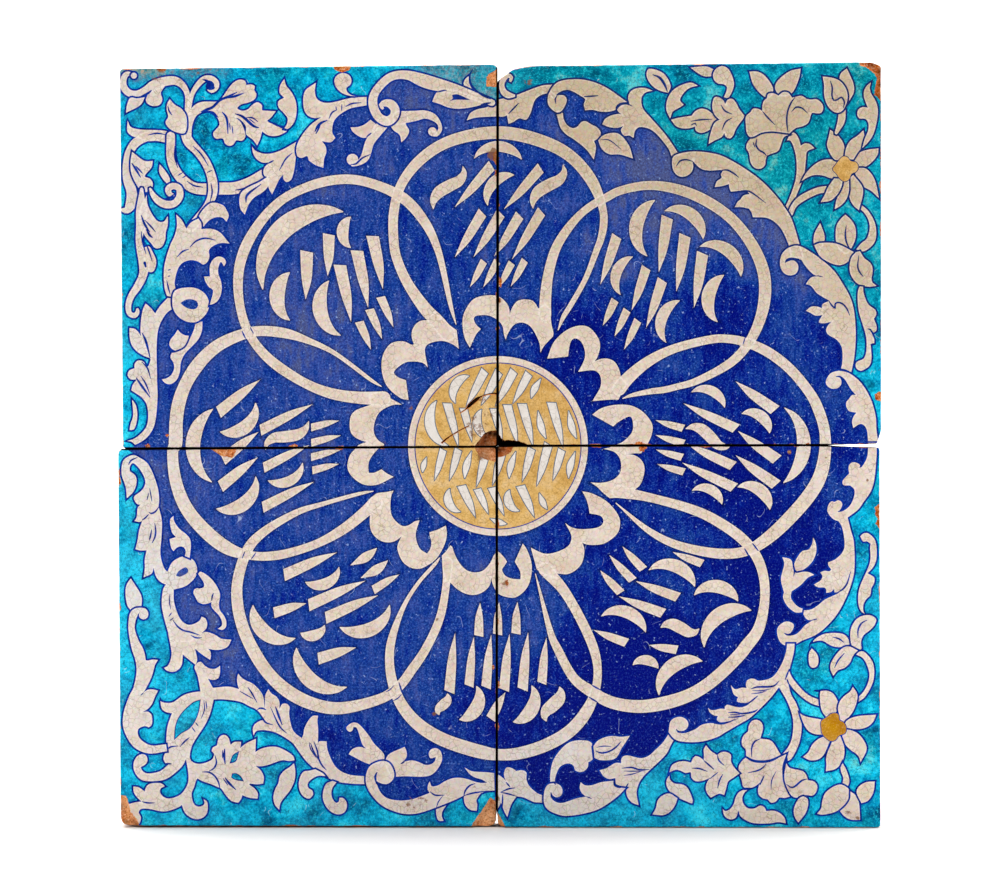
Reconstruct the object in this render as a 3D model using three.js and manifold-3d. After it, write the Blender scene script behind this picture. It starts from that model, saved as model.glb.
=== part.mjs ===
// A square panel of four glazed clay tiles, laid two by two with open joints and fixed by its back.
// Each tile is one solid slab, cut by hand and fired, so no two outlines are quite alike. Their worn
// corners, chips and the break where they meet are cut into the slabs.
// Frame: +X to the right, +Z up, and the glazed fronts face -Y. The back lies in the plane y = 0.
import * as THREE from "three";
import { mergeVertices } from "three/addons/utils/BufferGeometryUtils.js";
import Module from "manifold-3d";

// Driving dimensions, in millimetres
const THICKNESS = 25;
const EDGE_ROUND = 1.2;
const ORIGIN_X = 10;
const ORIGIN_Z = -10;

// How the solids are faceted
const EDGE_STEPS = 2;
const CORNER_STEPS = 3;

// Each outline runs anticlockwise as seen from the front, from the corner at the lower left. A corner is
// its place right of and above the crossing of the joints, and its radius.
const TILES = {
  tile_top_left: [
    [-298.4, -1.5, 2.4],
    [-0.2, 0, 2.4],
    [-0.2, 304.4, 4],
    [-300.8, 300.8, 3],
  ],
  tile_top_right: [
    [1.2, 0.7, 2.4],
    [303, 1.4, 2.4],
    [306.4, 12, 2.4],
    [306.5, 303.4, 2.4],
    [298.8, 306.2, 2.4],
    [26.4, 303.2, 3],
    [12.8, 300.4, 3],
    [1.2, 292, 3],
  ],
  tile_bottom_left: [
    [-300.2, -302.6, 7],
    [-0.8, -303.4, 6],
    [-0.8, -1, 2.4],
    [-302.2, -2.9, 4],
  ],
  tile_bottom_right: [
    [0.5, -303.6, 5],
    [306, -304.2, 3],
    [305.2, -1.1, 2.4],
    [255, 0.1, 10],
    [0.5, -0.5, 2.4],
  ],
};

// A chip is the line where it breaks the glaze, from one edge of the tile to the other, then the way out
// past that edge, as in a corner. Depth is how far it goes in, and slope is how far its wall leans.
const CHIPS = [
  {
    tile: "tile_top_right",
    line: [
      [288, 306], [289.6, 303.2], [293.6, 302.2], [300.8, 296.8],
      [303.2, 293], [301.2, 284.8], [300.8, 280], [306.4, 275],
    ],
    outside: [[314, 275], [314, 314], [288, 314]],
    depth: 3.5,
    slope: 2,
  },
  {
    tile: "tile_bottom_left",
    line: [
      [-285.2, -302.8], [-286.4, -298], [-292, -291.4],
      [-293.4, -284.5], [-296, -278.8], [-301, -278.2],
    ],
    outside: [[-310, -278], [-310, -312], [-285, -312]],
    depth: 3.5,
    slope: 2,
  },
  {
    tile: "tile_bottom_left",
    line: [[-0.6, -283.2], [-5.2, -280.4], [-21, -303.4]],
    outside: [[-21, -312], [6, -312], [6, -283]],
    depth: 4.5,
    slope: 3,
  },
  {
    tile: "tile_bottom_right",
    line: [[6.8, -303.8], [0.3, -291.5]],
    outside: [[-6, -291], [-6, -312], [7, -312]],
    depth: 3,
    slope: 1.5,
  },
  {
    tile: "tile_top_left",
    line: [[-0.1, 300.4], [-5.6, 297.2], [-8.4, 294.4], [-8.4, 286.6], [-0.1, 286]],
    outside: [[6, 286], [6, 301]],
    depth: 2,
    slope: 1.5,
  },
  {
    tile: "tile_top_left",
    line: [[-131, 303], [-129, 299.5], [-123.5, 297.4], [-118, 299.5], [-116, 303.2]],
    outside: [[-116, 310], [-131, 310]],
    depth: 1.5,
    slope: 1,
  },
  {
    tile: "tile_top_right",
    line: [[306.7, 44], [301.4, 41.5], [301.6, 37], [306.7, 35.5]],
    outside: [[312, 35.5], [312, 44]],
    depth: 1.5,
    slope: 1,
  },
  {
    tile: "tile_bottom_left",
    line: [[-206.8, -2], [-211.2, -9.6], [-220, -7.4], [-229, -2.2]],
    outside: [[-229, 4], [-207, 4]],
    depth: 1.5,
    slope: 1,
  },
  {
    tile: "tile_bottom_right",
    line: [[305.9, -45.5], [301.2, -48.5], [301.4, -55], [303.4, -57.5], [301.8, -62], [306, -67]],
    outside: [[312, -67], [312, -45]],
    depth: 2,
    slope: 1,
  },
  {
    tile: "tile_top_left",
    line: [[-18.6, -0.4], [-12.8, 6.2], [-10, 10.4], [-5.6, 12], [0.2, 12.8]],
    outside: [[5, 12.8], [5, -6], [-18, -6]],
    depth: 5,
    slope: 2,
  },
  {
    tile: "tile_top_right",
    line: [[1, 10.4], [3.2, 6.6], [6.4, 4.8], [13.6, 4.8], [18.4, 3.9], [26.4, 0.2]],
    outside: [[26, -6], [-4, -6], [-4, 10.4]],
    depth: 14,
    slope: 1,
  },
  {
    tile: "tile_bottom_left",
    line: [[-0.5, -12.8], [-10, -10.4], [-15.2, -6.8], [-18.2, -0.4]],
    outside: [[-18, 6], [5, 6], [5, -12.8]],
    depth: 1.8,
    slope: 2,
  },
  {
    tile: "tile_bottom_right",
    line: [[14, -0.2], [10.8, -5.2], [6.4, -8], [0.3, -9.4]],
    outside: [[-4, -9], [-4, 5], [14, 5]],
    depth: 3,
    slope: 2,
  },
];

const glazedTile = new THREE.MeshStandardMaterial({
  color: 0x2f4f9c,
  roughness: 0.3,
  metalness: 0,
});

const wasm = await Module();
wasm.setup();

function solidOf(geometry) {
  geometry.deleteAttribute("normal");
  geometry.deleteAttribute("uv");
  const merged = mergeVertices(geometry, 1e-4);
  const triVerts = new Uint32Array(merged.index.array);
  const vertProperties = merged.attributes.position.array;
  return new wasm.Manifold(new wasm.Mesh({ numProp: 3, vertProperties, triVerts }));
}

function geometryOf(solid) {
  const mesh = solid.getMesh();
  const geometry = new THREE.BufferGeometry();
  geometry.setAttribute("position", new THREE.BufferAttribute(mesh.vertProperties, 3));
  geometry.setIndex(new THREE.BufferAttribute(mesh.triVerts, 1));
  const faceted = geometry.toNonIndexed();
  faceted.computeVertexNormals();
  return faceted;
}

// The outline as a shape whose corners are rounded by curves that touch both sides.
function roundedShape(corners) {
  const shape = new THREE.Shape();
  const points = corners.map(([x, z]) => new THREE.Vector2(x, z));
  points.forEach((corner, i) => {
    const radius = corners[i][2];
    const before = points[(i + points.length - 1) % points.length];
    const after = points[(i + 1) % points.length];
    const entry = corner.clone().add(before.clone().sub(corner).setLength(radius));
    const exit = corner.clone().add(after.clone().sub(corner).setLength(radius));
    if (i === 0) shape.moveTo(entry.x, entry.y);
    else shape.lineTo(entry.x, entry.y);
    shape.quadraticCurveTo(corner.x, corner.y, exit.x, exit.y);
  });
  shape.closePath();
  return shape;
}

// A slab with its back at y = 0, its front at y = -THICKNESS and its edges rounded all the way round.
function slab(corners) {
  const geometry = new THREE.ExtrudeGeometry(roundedShape(corners), {
    depth: THICKNESS - 2 * EDGE_ROUND,
    curveSegments: CORNER_STEPS,
    bevelThickness: EDGE_ROUND,
    bevelSize: EDGE_ROUND,
    bevelOffset: -EDGE_ROUND,
    bevelSegments: EDGE_STEPS,
  });
  geometry.translate(0, 0, EDGE_ROUND);
  geometry.rotateX(Math.PI / 2);
  return solidOf(geometry);
}

// What a chip takes away: a prism from in front of the tile down to its depth. Its wall leans along the
// line, so each point of the line moves outwards, away from the tile's middle, on its way down.
function chipCutter({ line, outside, depth, slope }) {
  const clearance = 2;
  const way = new THREE.Vector2();
  outside.forEach(([x, z]) => way.add(new THREE.Vector2(x, z)));
  way.divideScalar(outside.length);
  const ringAt = (share) => {
    const leaned = line.map(([x, z]) => {
      const point = new THREE.Vector2(x, z);
      return point.add(way.clone().sub(point).setLength(slope * share));
    });
    return [...leaned, ...outside.map(([x, z]) => new THREE.Vector2(x, z))];
  };
  const rings = [ringAt(-clearance / depth), ringAt(1)];
  if (THREE.ShapeUtils.isClockWise(rings[0])) rings.forEach((ring) => ring.reverse());
  const heights = [-THICKNESS - clearance, -THICKNESS + depth];
  const positions = [];
  const face = (...corners) => {
    for (const [ring, i] of corners) {
      const point = rings[ring][i % rings[ring].length];
      positions.push(point.x, heights[ring], point.y);
    }
  };
  for (const [a, b, c] of THREE.ShapeUtils.triangulateShape(rings[0], [])) {
    const clockwise = THREE.ShapeUtils.isClockWise([a, b, c].map((i) => rings[0][i]));
    const [first, last] = clockwise ? [c, a] : [a, c];
    face([0, first], [0, b], [0, last]);
    face([1, last], [1, b], [1, first]);
  }
  rings[0].forEach((_, i) => {
    face([0, i], [1, i], [1, i + 1]);
    face([0, i], [1, i + 1], [0, i + 1]);
  });
  const geometry = new THREE.BufferGeometry();
  geometry.setAttribute("position", new THREE.Float32BufferAttribute(positions, 3));
  return solidOf(geometry);
}

function tile(name, corners) {
  const cutters = CHIPS.filter((chip) => chip.tile === name).map(chipCutter);
  const solid = cutters.reduce((rest, cutter) => rest.subtract(cutter), slab(corners));
  const mesh = new THREE.Mesh(geometryOf(solid), glazedTile);
  mesh.name = name;
  mesh.position.set(-ORIGIN_X, 0, -ORIGIN_Z);
  return mesh;
}

const panel = new THREE.Group();
for (const [name, corners] of Object.entries(TILES)) panel.add(tile(name, corners));

export default panel;
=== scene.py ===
# A square panel of four glazed clay tiles, painted with a rosette of eight overlapping rings round a
# medallion, and flowering scrolls in the corners. Lengths are millimetres right of and above the crossing
# of the joints, and turn into the frame's metres where a tile is made.
import math
import random

import bmesh
import bpy
import numpy as np
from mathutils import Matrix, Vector, geometry, kdtree, noise


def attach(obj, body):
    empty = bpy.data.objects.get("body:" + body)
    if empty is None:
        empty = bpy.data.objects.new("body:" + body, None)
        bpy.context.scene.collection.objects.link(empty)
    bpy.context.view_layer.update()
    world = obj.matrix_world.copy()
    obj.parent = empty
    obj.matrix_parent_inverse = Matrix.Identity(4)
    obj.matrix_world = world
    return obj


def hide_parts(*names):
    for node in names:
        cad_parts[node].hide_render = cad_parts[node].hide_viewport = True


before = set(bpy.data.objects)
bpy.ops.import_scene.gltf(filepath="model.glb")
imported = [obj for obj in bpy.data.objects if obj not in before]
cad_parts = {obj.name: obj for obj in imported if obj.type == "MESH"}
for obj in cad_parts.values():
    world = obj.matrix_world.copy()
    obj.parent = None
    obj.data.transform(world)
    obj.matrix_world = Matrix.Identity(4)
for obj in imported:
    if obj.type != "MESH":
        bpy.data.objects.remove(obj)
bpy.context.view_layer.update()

# Four slabs of coarse red clay, pressed in a mould, trimmed by hand and fired, so no two outlines are quite
# alike. A corner is its place and radius, anticlockwise from the lower left.
THICKNESS = 25
EDGE_ROUND = 1.2
ORIGIN_X = 10
ORIGIN_Z = -10
TILES = {
    "tile_top_left": [(-298.4, -1.5, 2.4), (-0.2, 0, 2.4), (-0.2, 304.4, 4), (-300.8, 300.8, 3)],
    "tile_top_right": [(1.2, 0.7, 2.4), (303, 1.4, 2.4), (306.4, 12, 2.4), (306.5, 303.4, 2.4),
                       (298.8, 306.2, 2.4), (26.4, 303.2, 3), (12.8, 300.4, 3), (1.2, 292, 3)],
    "tile_bottom_left": [(-300.2, -302.6, 7), (-0.8, -303.4, 6), (-0.8, -1, 2.4), (-302.2, -2.9, 4)],
    "tile_bottom_right": [(0.5, -303.6, 5), (306, -304.2, 3), (305.2, -1.1, 2.4), (255, 0.1, 10),
                          (0.5, -0.5, 2.4)],
}
# Where knocks have broken the glaze: the line of the break, the way out past the edge, how deep it goes
# and how far its wall leans.
CHIPS = {
    "tile_top_left": [
        ([(-0.1, 300.4), (-5.6, 297.2), (-8.4, 294.4), (-8.4, 286.6), (-0.1, 286)],
         [(6, 286), (6, 301)], 2, 1.5),
        ([(-131, 303), (-129, 299.5), (-123.5, 297.4), (-118, 299.5), (-116, 303.2)],
         [(-116, 310), (-131, 310)], 1.5, 1),
        ([(-18.6, -0.4), (-12.8, 6.2), (-10, 10.4), (-5.6, 12), (0.2, 12.8)],
         [(5, 12.8), (5, -6), (-18, -6)], 5, 2),
    ],
    "tile_top_right": [
        ([(288, 306), (289.6, 303.2), (293.6, 302.2), (300.8, 296.8), (303.2, 293), (301.2, 284.8),
          (300.8, 280), (306.4, 275)], [(314, 275), (314, 314), (288, 314)], 3.5, 2),
        ([(306.7, 44), (301.4, 41.5), (301.6, 37), (306.7, 35.5)], [(312, 35.5), (312, 44)], 1.5, 1),
        ([(1, 10.4), (3.2, 6.6), (6.4, 4.8), (13.6, 4.8), (18.4, 3.9), (26.4, 0.2)],
         [(26, -6), (-4, -6), (-4, 10.4)], 14, 1),
    ],
    "tile_bottom_left": [
        ([(-285.2, -302.8), (-286.4, -298), (-292, -291.4), (-293.4, -284.5), (-296, -278.8),
          (-301, -278.2)],
         [(-310, -278), (-310, -312), (-285, -312)], 3.5, 2),
        ([(-0.6, -283.2), (-5.2, -280.4), (-21, -303.4)], [(-21, -312), (6, -312), (6, -283)], 4.5, 3),
        ([(-206.8, -2), (-211.2, -9.6), (-220, -7.4), (-229, -2.2)], [(-229, 4), (-207, 4)], 1.5, 1),
        ([(-0.5, -12.8), (-10, -10.4), (-15.2, -6.8), (-18.2, -0.4)],
         [(-18, 6), (5, 6), (5, -12.8)], 1.8, 2),
    ],
    "tile_bottom_right": [
        ([(6.8, -303.8), (0.3, -291.5)], [(-6, -291), (-6, -312), (7, -312)], 3, 1.5),
        ([(305.9, -45.5), (301.2, -48.5), (301.4, -55), (303.4, -57.5), (301.8, -62), (306, -67)],
         [(312, -67), (312, -45)], 2, 1),
        ([(14, -0.2), (10.8, -5.2), (6.4, -8), (0.3, -9.4)], [(-4, -9), (-4, 5), (14, 5)], 3, 2),
    ],
}
# Small nicks and worn stretches of edge: the middle, and half the width and height.
NICKS = [
    (-266.8, 300.6, 3.8, 1.8), (-278.4, -0.4, 2.2, 2), (-262.8, 8.4, 1.3, 1.1), (-162, 0.2, 3.8, 1.2),
    (-0.6, 230, 2.6, 5.5), (-0.4, 217, 1.4, 3), (-301.4, -25.6, 1.4, 7), (-301, -128.4, 1.2, 3.6),
    (-3, -176, 1.1, 2), (1, -190.4, 1.4, 2.6), (115.6, -1.6, 3, 2.8), (232.8, -4.8, 1.3, 1),
    (8, -109, 1.4, 2.2), (306.6, 206.4, 1.6, 5.8), (306.6, 172, 1.6, 5), (114, 1.4, 3.8, 2.2),
    (248, 1.4, 1.8, 1), (290, 1.2, 15, 0.6), (2.2, 131, 1.8, 3.6), (1.6, 116, 1, 2.6),
    (-245, 301, 9, 1.2), (-196, 302, 6, 0.8), (26, 303.6, 5, 1), (49, 304, 3, 1.2), (2.8, 295, 1, 2.6),
    (6.4, 298.4, 2.6, 1),
]


def to_linear(colour):
    """sRGB hex to the linear values that a shader takes."""
    value = [int(colour[i:i + 2], 16) / 255 for i in (1, 3, 5)]
    return [v / 12.92 if v <= 0.04045 else ((v + 0.055) / 1.055) ** 2.4 for v in value] + [1]


def new_material(name):
    material = bpy.data.materials.new(name)
    material.use_nodes = True
    material.node_tree.nodes.clear()
    return material


def add(material, kind, settings, *inputs, **named):
    """One shader node. Each input is a number, a colour, or an earlier node whose result goes into it."""
    node = material.node_tree.nodes.new("ShaderNode" + kind)
    for name, value in settings.items():
        if name == "stops":
            elements = node.color_ramp.elements
            for position, _ in value[1:-1]:
                elements.new(position)
            for element, (position, colour) in zip(elements, value):
                element.position = position
                element.color = to_linear(colour)
        else:
            setattr(node, name, value)
    sockets = [socket for socket in node.inputs if socket.enabled]
    pairs = list(zip(sockets, inputs))
    for name, value in named.items():
        pairs.append((next(socket for socket in sockets if socket.name == name.replace("_", " ")), value))
    for socket, value in pairs:
        if isinstance(value, bpy.types.Node):
            value = next(output for output in value.outputs if output.enabled)
        if isinstance(value, bpy.types.NodeSocket):
            material.node_tree.links.new(value, socket)
        else:
            socket.default_value = to_linear(value) if isinstance(value, str) else value
    return node


# Bare fired clay is matt, coarse and uneven: orange where it is freshly broken, with pale lime and dark
# grit, grey-brown where it is soiled, and darkened to all but black by painted shade deep in a joint or a
# hole.
clay = new_material("fired_clay")
place = add(clay, "TexCoord", {}).outputs["Object"]
patches = add(clay, "TexNoise", {}, place, Scale=170, Detail=6, Roughness=0.65)
body = add(clay, "ValToRGB", {"stops": [(0.34, "#984212"), (0.5, "#cc6a28"), (0.66, "#e4964e")]}, patches)
faded = add(clay, "Attribute", {"attribute_name": "faded"})
body = add(clay, "Mix", {"data_type": "RGBA"}, faded, body, "#ecb07c")
grit = add(clay, "TexNoise", {}, place, Scale=650, Detail=3, Roughness=0.8)
dark_grit = add(clay, "MapRange", {}, grit, 0.47, 0.33, 0, 0.85)
body = add(clay, "Mix", {"data_type": "RGBA"}, dark_grit, body, "#4e2410")
lime = add(clay, "MapRange", {}, grit, 0.54, 0.64, 0, 0.8)
body = add(clay, "Mix", {"data_type": "RGBA"}, lime, body, "#eacaa8")
fresh = add(clay, "Attribute", {"attribute_name": "fresh"})
body = add(clay, "Mix", {"data_type": "RGBA"}, fresh, body, "#8a3608")
soil = add(clay, "Attribute", {"attribute_name": "soil"})
smears = add(clay, "TexNoise", {}, place, Scale=24, Detail=9, Roughness=0.75)
soiled = add(clay, "MapRange", {}, smears, 0.4, 0.6, 0.4, 1)
soiled = add(clay, "Math", {"operation": "MULTIPLY"}, soiled, soil)
body = add(clay, "Mix", {"data_type": "RGBA"}, soiled, body, "#5c4030")
# painted shade: the clay is darkened nearly to black deep in the joints and in the break
shade = add(clay, "Attribute", {"attribute_name": "shade"})
body = add(clay, "Mix", {"data_type": "RGBA"}, shade, body, "#0c0705")
rough = add(clay, "Bump", {}, Height=grit, Strength=0.5, Distance=0.0006)
surface = add(clay, "BsdfPrincipled", {}, body, Roughness=0.9, Specular_IOR_Level=0, Normal=rough)
add(clay, "OutputMaterial", {}, surface)
MATERIALS = {"clay": clay}

# The painter draws each motif on the raw clay with a thin brush, about a point near its middle, and leaves
# the cream slip bare inside. A shape is runs of points, and each run starts at a sharp corner. A stroke's
# points carry the width of the brush, which goes on until the next width is given.
OUTLINE_WIDTH = 1.5
POINT_SPACING = 1.6
painting = []


def bend(before, start, end, after):
    """Points on a smooth curve from start up to, but without, end."""
    gap_before = max(np.hypot(*(start - before)[:2]), 1e-6) ** 0.5
    gap = max(np.hypot(*(end - start)[:2]), 1e-6) ** 0.5
    gap_after = max(np.hypot(*(after - end)[:2]), 1e-6) ** 0.5
    leave = (start - before) / gap_before - (end - before) / (gap_before + gap) + (end - start) / gap
    arrive = (end - start) / gap - (after - start) / (gap + gap_after) + (after - end) / gap_after
    count = max(1, round(np.hypot(*(end - start)[:2]) / POINT_SPACING))
    t = (np.arange(count) / count)[:, None]
    from_start = (2 * t**3 - 3 * t**2 + 1) * start + (t**3 - 2 * t**2 + t) * leave * gap
    return from_start + (3 * t**2 - 2 * t**3) * end + (t**3 - t**2) * arrive * gap


def curve(points):
    """A smooth line through all the points."""
    p = [2 * points[0] - points[1], *points, 2 * points[-1] - points[-2]]
    return np.vstack([bend(*p[k:k + 4]) for k in range(len(p) - 3)])


def loop(points):
    """A closed outline with no corner."""
    p = np.array(points, float)
    return np.vstack([bend(p[i - 1], p[i], p[(i + 1) % len(p)], p[(i + 2) % len(p)]) for i in range(len(p))])


def shape(*runs):
    """A closed outline with corners; each run ends at the next run's first point."""
    runs = [[*run, runs[(i + 1) % len(runs)][0]] for i, run in enumerate(runs)]
    return np.vstack([curve(np.array(run, float)) for run in runs])


def stroke(points):
    """The outline of one brush stroke with round ends."""
    widths = [p[2] if len(p) > 2 else 0 for p in points]
    for i, width in enumerate(widths):
        widths[i] = width or widths[i - 1]
    p = np.array([(x, z, width) for (x, z, *_), width in zip(points, widths)], float)
    line = np.vstack([curve(p), p[-1]])
    along = np.gradient(line[:, :2], axis=0)
    along /= np.maximum(np.hypot(*along.T), 1e-9)[:, None]
    across = np.c_[-along[:, 1], along[:, 0]]
    half = np.maximum(line[:, 2:], 0.16) / 2

    def cap(centre, way, radius):
        count = max(4, int(3 * radius)) if radius > 0.8 else 2
        turn = np.linspace(math.pi / 2, -math.pi / 2, count)[1:-1, None]
        return centre + radius * (np.cos(turn) * way + np.sin(turn) * np.array((-way[1], way[0])))

    ends = [cap(line[-1, :2], along[-1], half[-1, 0]), cap(line[0, :2], -along[0], half[0, 0])]
    return np.vstack([line[:, :2] + across * half, ends[0], (line[:, :2] - across * half)[::-1], ends[1]])


def disc(x, z, radius):
    count = max(14, round(2 * math.pi * radius / 2.2))
    turn = np.linspace(0, 2 * math.pi, count, endpoint=False)
    return np.c_[x + radius * np.cos(turn), z + radius * np.sin(turn)]


def grown(points, by):
    """The outline moved outwards, or inwards where by is negative."""
    x, z = points.T
    turn = np.sign(np.sum(x * np.roll(z, -1) - z * np.roll(x, -1)))
    ahead = np.roll(points, -1, axis=0) - points
    ahead /= np.maximum(np.hypot(*ahead.T), 1e-9)[:, None]
    behind = np.roll(ahead, 1, axis=0)
    out = np.c_[ahead[:, 1], -ahead[:, 0]] + np.c_[behind[:, 1], -behind[:, 0]]
    out /= np.maximum(np.hypot(*out.T), 1e-9)[:, None]
    square = np.maximum(out[:, 0] * ahead[:, 1] - out[:, 1] * ahead[:, 0], 0.45)
    return points + out * (by / square)[:, None] * turn


def paint(colour, outline, about, *shapes):
    """Dark outlines of that width go on first, and the colour covers all inside them."""
    shapes = [points + np.array(about, float) for points in shapes]
    if outline:
        painting.extend(("outline", grown(points, outline)) for points in shapes)
    painting.extend((colour, points) for points in shapes)


def slip(about, *shapes):
    paint("cream", OUTLINE_WIDTH, about, *shapes)


def draw(about, width, *lines):
    """Fine brush lines over the slip, thinner towards both ends."""
    for line in lines:
        taper = [0.35 * width, *[width] * (len(line) - 2), 0.35 * width]
        if len(line) == 2:
            line, taper = [line[0], np.mean(line, axis=0), line[1]], [0.5 * width, width, 0.5 * width]
        paint("outline", 0, about, stroke([(*point, w) for point, w in zip(line, taper)]))


# A clear glaze covers everything and was fired with the colours, so all of them share its soft gloss, its
# slow swell, its net of fine craze lines about 4 mm apart, and the soil that years have rubbed into them.
def glaze(material, place, colour, craze_colour, craze_strength):
    wobble = add(material, "TexNoise", {}, place, Scale=260, Detail=2).outputs["Color"]
    shaken = add(material, "Mix", {"data_type": "VECTOR"}, 0.003, place, wobble)
    cells = add(material, "TexVoronoi", {"feature": "DISTANCE_TO_EDGE"}, shaken, Scale=235)
    craze = add(material, "MapRange", {}, cells, 0.01, 0.075, craze_strength, 0)
    worn = add(material, "TexNoise", {}, place, Scale=90, Detail=3)
    worn = add(material, "MapRange", {}, worn, 0.3, 0.62)
    craze = add(material, "Math", {"operation": "MULTIPLY"}, craze, worn)
    colour = add(material, "Mix", {"data_type": "RGBA"}, craze, colour, craze_colour)
    soil = add(material, "Attribute", {"attribute_name": "soil"})
    cloud = add(material, "TexNoise", {}, place, Scale=210, Detail=7, Roughness=0.8)
    least = add(material, "Math", {"operation": "MULTIPLY_ADD"}, soil, -0.5, 0.78)
    soiled = add(material, "Math", {"operation": "SUBTRACT"}, cloud, least)
    soiled = add(material, "MapRange", {}, soiled, 0, 0.07, 0, 0.85)
    colour = add(material, "Mix", {"data_type": "RGBA"}, soiled, colour, "#7c5234")
    waves = add(material, "TexNoise", {}, place, Scale=70, Detail=3)
    swell = add(material, "Bump", {}, Height=waves, Strength=0.1, Distance=0.002)
    cracks = add(material, "Bump", {"invert": True}, Height=craze, Strength=0.15, Distance=0.0002,
                 Normal=swell)
    surface = add(material, "BsdfPrincipled", {}, colour, Roughness=0.3, IOR=1.5, Specular_IOR_Level=0.02,
                  Normal=cracks)
    add(material, "OutputMaterial", {}, surface)


# Fine scratches, 10 to 20 mm long, where the glaze was scraped: white to whoever looks at them.
def scratches(material, place, scale):
    run = add(material, "TexNoise", {}, place, Scale=scale, Detail=1)
    off = add(material, "Math", {"operation": "SUBTRACT"}, run, 0.5)
    off = add(material, "Math", {"operation": "ABSOLUTE"}, off)
    line = add(material, "MapRange", {}, off, 0.0016, 0.004, 1, 0)
    rare = add(material, "TexNoise", {}, place, Scale=scale * 1.7, Detail=2)
    rare = add(material, "MapRange", {}, rare, 0.6, 0.66, 0, 0.6)
    return add(material, "Math", {"operation": "MULTIPLY"}, line, rare)


# The ground inside the rosette: cobalt oxide, brushed on thickly in strokes about 4 mm wide. It is deep
# ultramarine where it is thick and violet-grey where it is thin, and greyer towards the top with a painted
# sheen (tone), grainy with undissolved specks and tiny bubbles about 1.5 mm apart, and darker where it pools
# against the slip (edge, halo).
cobalt = new_material("cobalt_glaze")
place = add(cobalt, "TexCoord", {}).outputs["Object"]
# tone: the cobalt's thickness in clouds, with a painted sheen greying it towards the top
tone = add(cobalt, "Attribute", {"attribute_name": "tone"})
clouds = add(cobalt, "TexNoise", {}, place, Scale=60, Detail=6, Roughness=0.7)
clouds = add(cobalt, "MapRange", {}, clouds, 0.25, 0.75, -0.4, 0.4)
tone = add(cobalt, "Math", {"operation": "ADD"}, tone, clouds)
laid = add(cobalt, "Mapping", {}, place, Rotation=(0, 0.5, 0), Scale=(1, 1, 0.2))
brushed = add(cobalt, "TexNoise", {}, laid, Scale=250, Detail=3)
brushed = add(cobalt, "MapRange", {}, brushed, 0.25, 0.75, -0.25, 0.25)
tone = add(cobalt, "Math", {"operation": "ADD", "use_clamp": True}, tone, brushed)
ground = add(cobalt, "ValToRGB", {"stops": [(0, "#000878"), (0.25, "#001c8a"), (0.5, "#103890"),
                                            (0.75, "#34489a"), (1, "#4e5686")]}, tone)
grain = add(cobalt, "TexNoise", {}, place, Scale=640, Detail=2, Roughness=0.85)
dark_grain = add(cobalt, "MapRange", {}, grain, 0.5, 0.25, 0, 0.85)
ground = add(cobalt, "Mix", {"data_type": "RGBA"}, dark_grain, ground, "#020c48")
bubbles = add(cobalt, "MapRange", {}, grain, 0.52, 0.78, 0, 0.8)
open_tone = add(cobalt, "MapRange", {}, tone, 0, 0.5, 0.35, 1)
bubbles = add(cobalt, "Math", {"operation": "MULTIPLY"}, bubbles, open_tone)
ground = add(cobalt, "Mix", {"data_type": "RGBA"}, bubbles, ground, "#5b8ad2")
halo = add(cobalt, "Attribute", {"attribute_name": "halo"})
pooled = add(cobalt, "Math", {"operation": "MULTIPLY"}, halo, 0.4)
ground = add(cobalt, "Mix", {"data_type": "RGBA"}, pooled, ground, "#04125c")
edge = add(cobalt, "Attribute", {"attribute_name": "edge"})
pooled = add(cobalt, "Math", {"operation": "MULTIPLY"}, edge, 0.75)
ground = add(cobalt, "Mix", {"data_type": "RGBA"}, pooled, ground, "#01062c")
specks = add(cobalt, "TexNoise", {}, place, Scale=430, Detail=2, Roughness=0.6)
specks = add(cobalt, "MapRange", {}, specks, 0.66, 0.74, 0, 0.8)
ground = add(cobalt, "Mix", {"data_type": "RGBA"}, specks, ground, "#9ab4dc")
ground = add(cobalt, "Mix", {"data_type": "RGBA"}, scratches(cobalt, place, 42), ground, "#b4c4e0")
glaze(cobalt, place, ground, "#06104a", 0.35)
MATERIALS["cobalt"] = cobalt

# The ground of the corners: a copper turquoise, mottled over 3 to 10 mm from deep blue-green to pale, paler
# still where it ran thin (pale), greener and dull where it has aged (age), and stained by the blue outlines.
turquoise = new_material("turquoise_glaze")
place = add(turquoise, "TexCoord", {}).outputs["Object"]
wide = add(turquoise, "TexNoise", {}, place, Scale=34, Detail=3, Roughness=0.5)
mottle = add(turquoise, "TexNoise", {}, place, Scale=110, Detail=8, Roughness=0.8)
mottle = add(turquoise, "Mix", {"data_type": "FLOAT"}, 0.45, mottle, wide)
fresh = add(turquoise, "ValToRGB", {"stops": [(0.39, "#00345e"), (0.45, "#007cac"), (0.5, "#00a6d4"),
                                              (0.545, "#00c0e6"), (0.62, "#44e4f8")]}, mottle)
aged = add(turquoise, "ValToRGB", {"stops": [(0.38, "#003e54"), (0.445, "#006a7e"), (0.5, "#008896"),
                                             (0.55, "#129ca2"), (0.64, "#86ccb8")]}, mottle)
age = add(turquoise, "Attribute", {"attribute_name": "age"})
greener = add(turquoise, "TexNoise", {}, place, Scale=30, Detail=5, Roughness=0.75)
greener = add(turquoise, "MapRange", {}, greener, 0.52, 0.62, 0, 0.55)
age = add(turquoise, "Math", {"operation": "MAXIMUM"}, age, greener)
ground = add(turquoise, "Mix", {"data_type": "RGBA"}, age, fresh, aged)
crust = add(turquoise, "TexNoise", {}, place, Scale=42, Detail=9, Roughness=0.85)
crust = add(turquoise, "MapRange", {}, crust, 0.58, 0.62, 0, 0.65)
ground = add(turquoise, "Mix", {"data_type": "RGBA"}, crust, ground, "#004c60")
thin = add(turquoise, "TexNoise", {}, place, Scale=45, Detail=5, Roughness=0.7)
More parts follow.
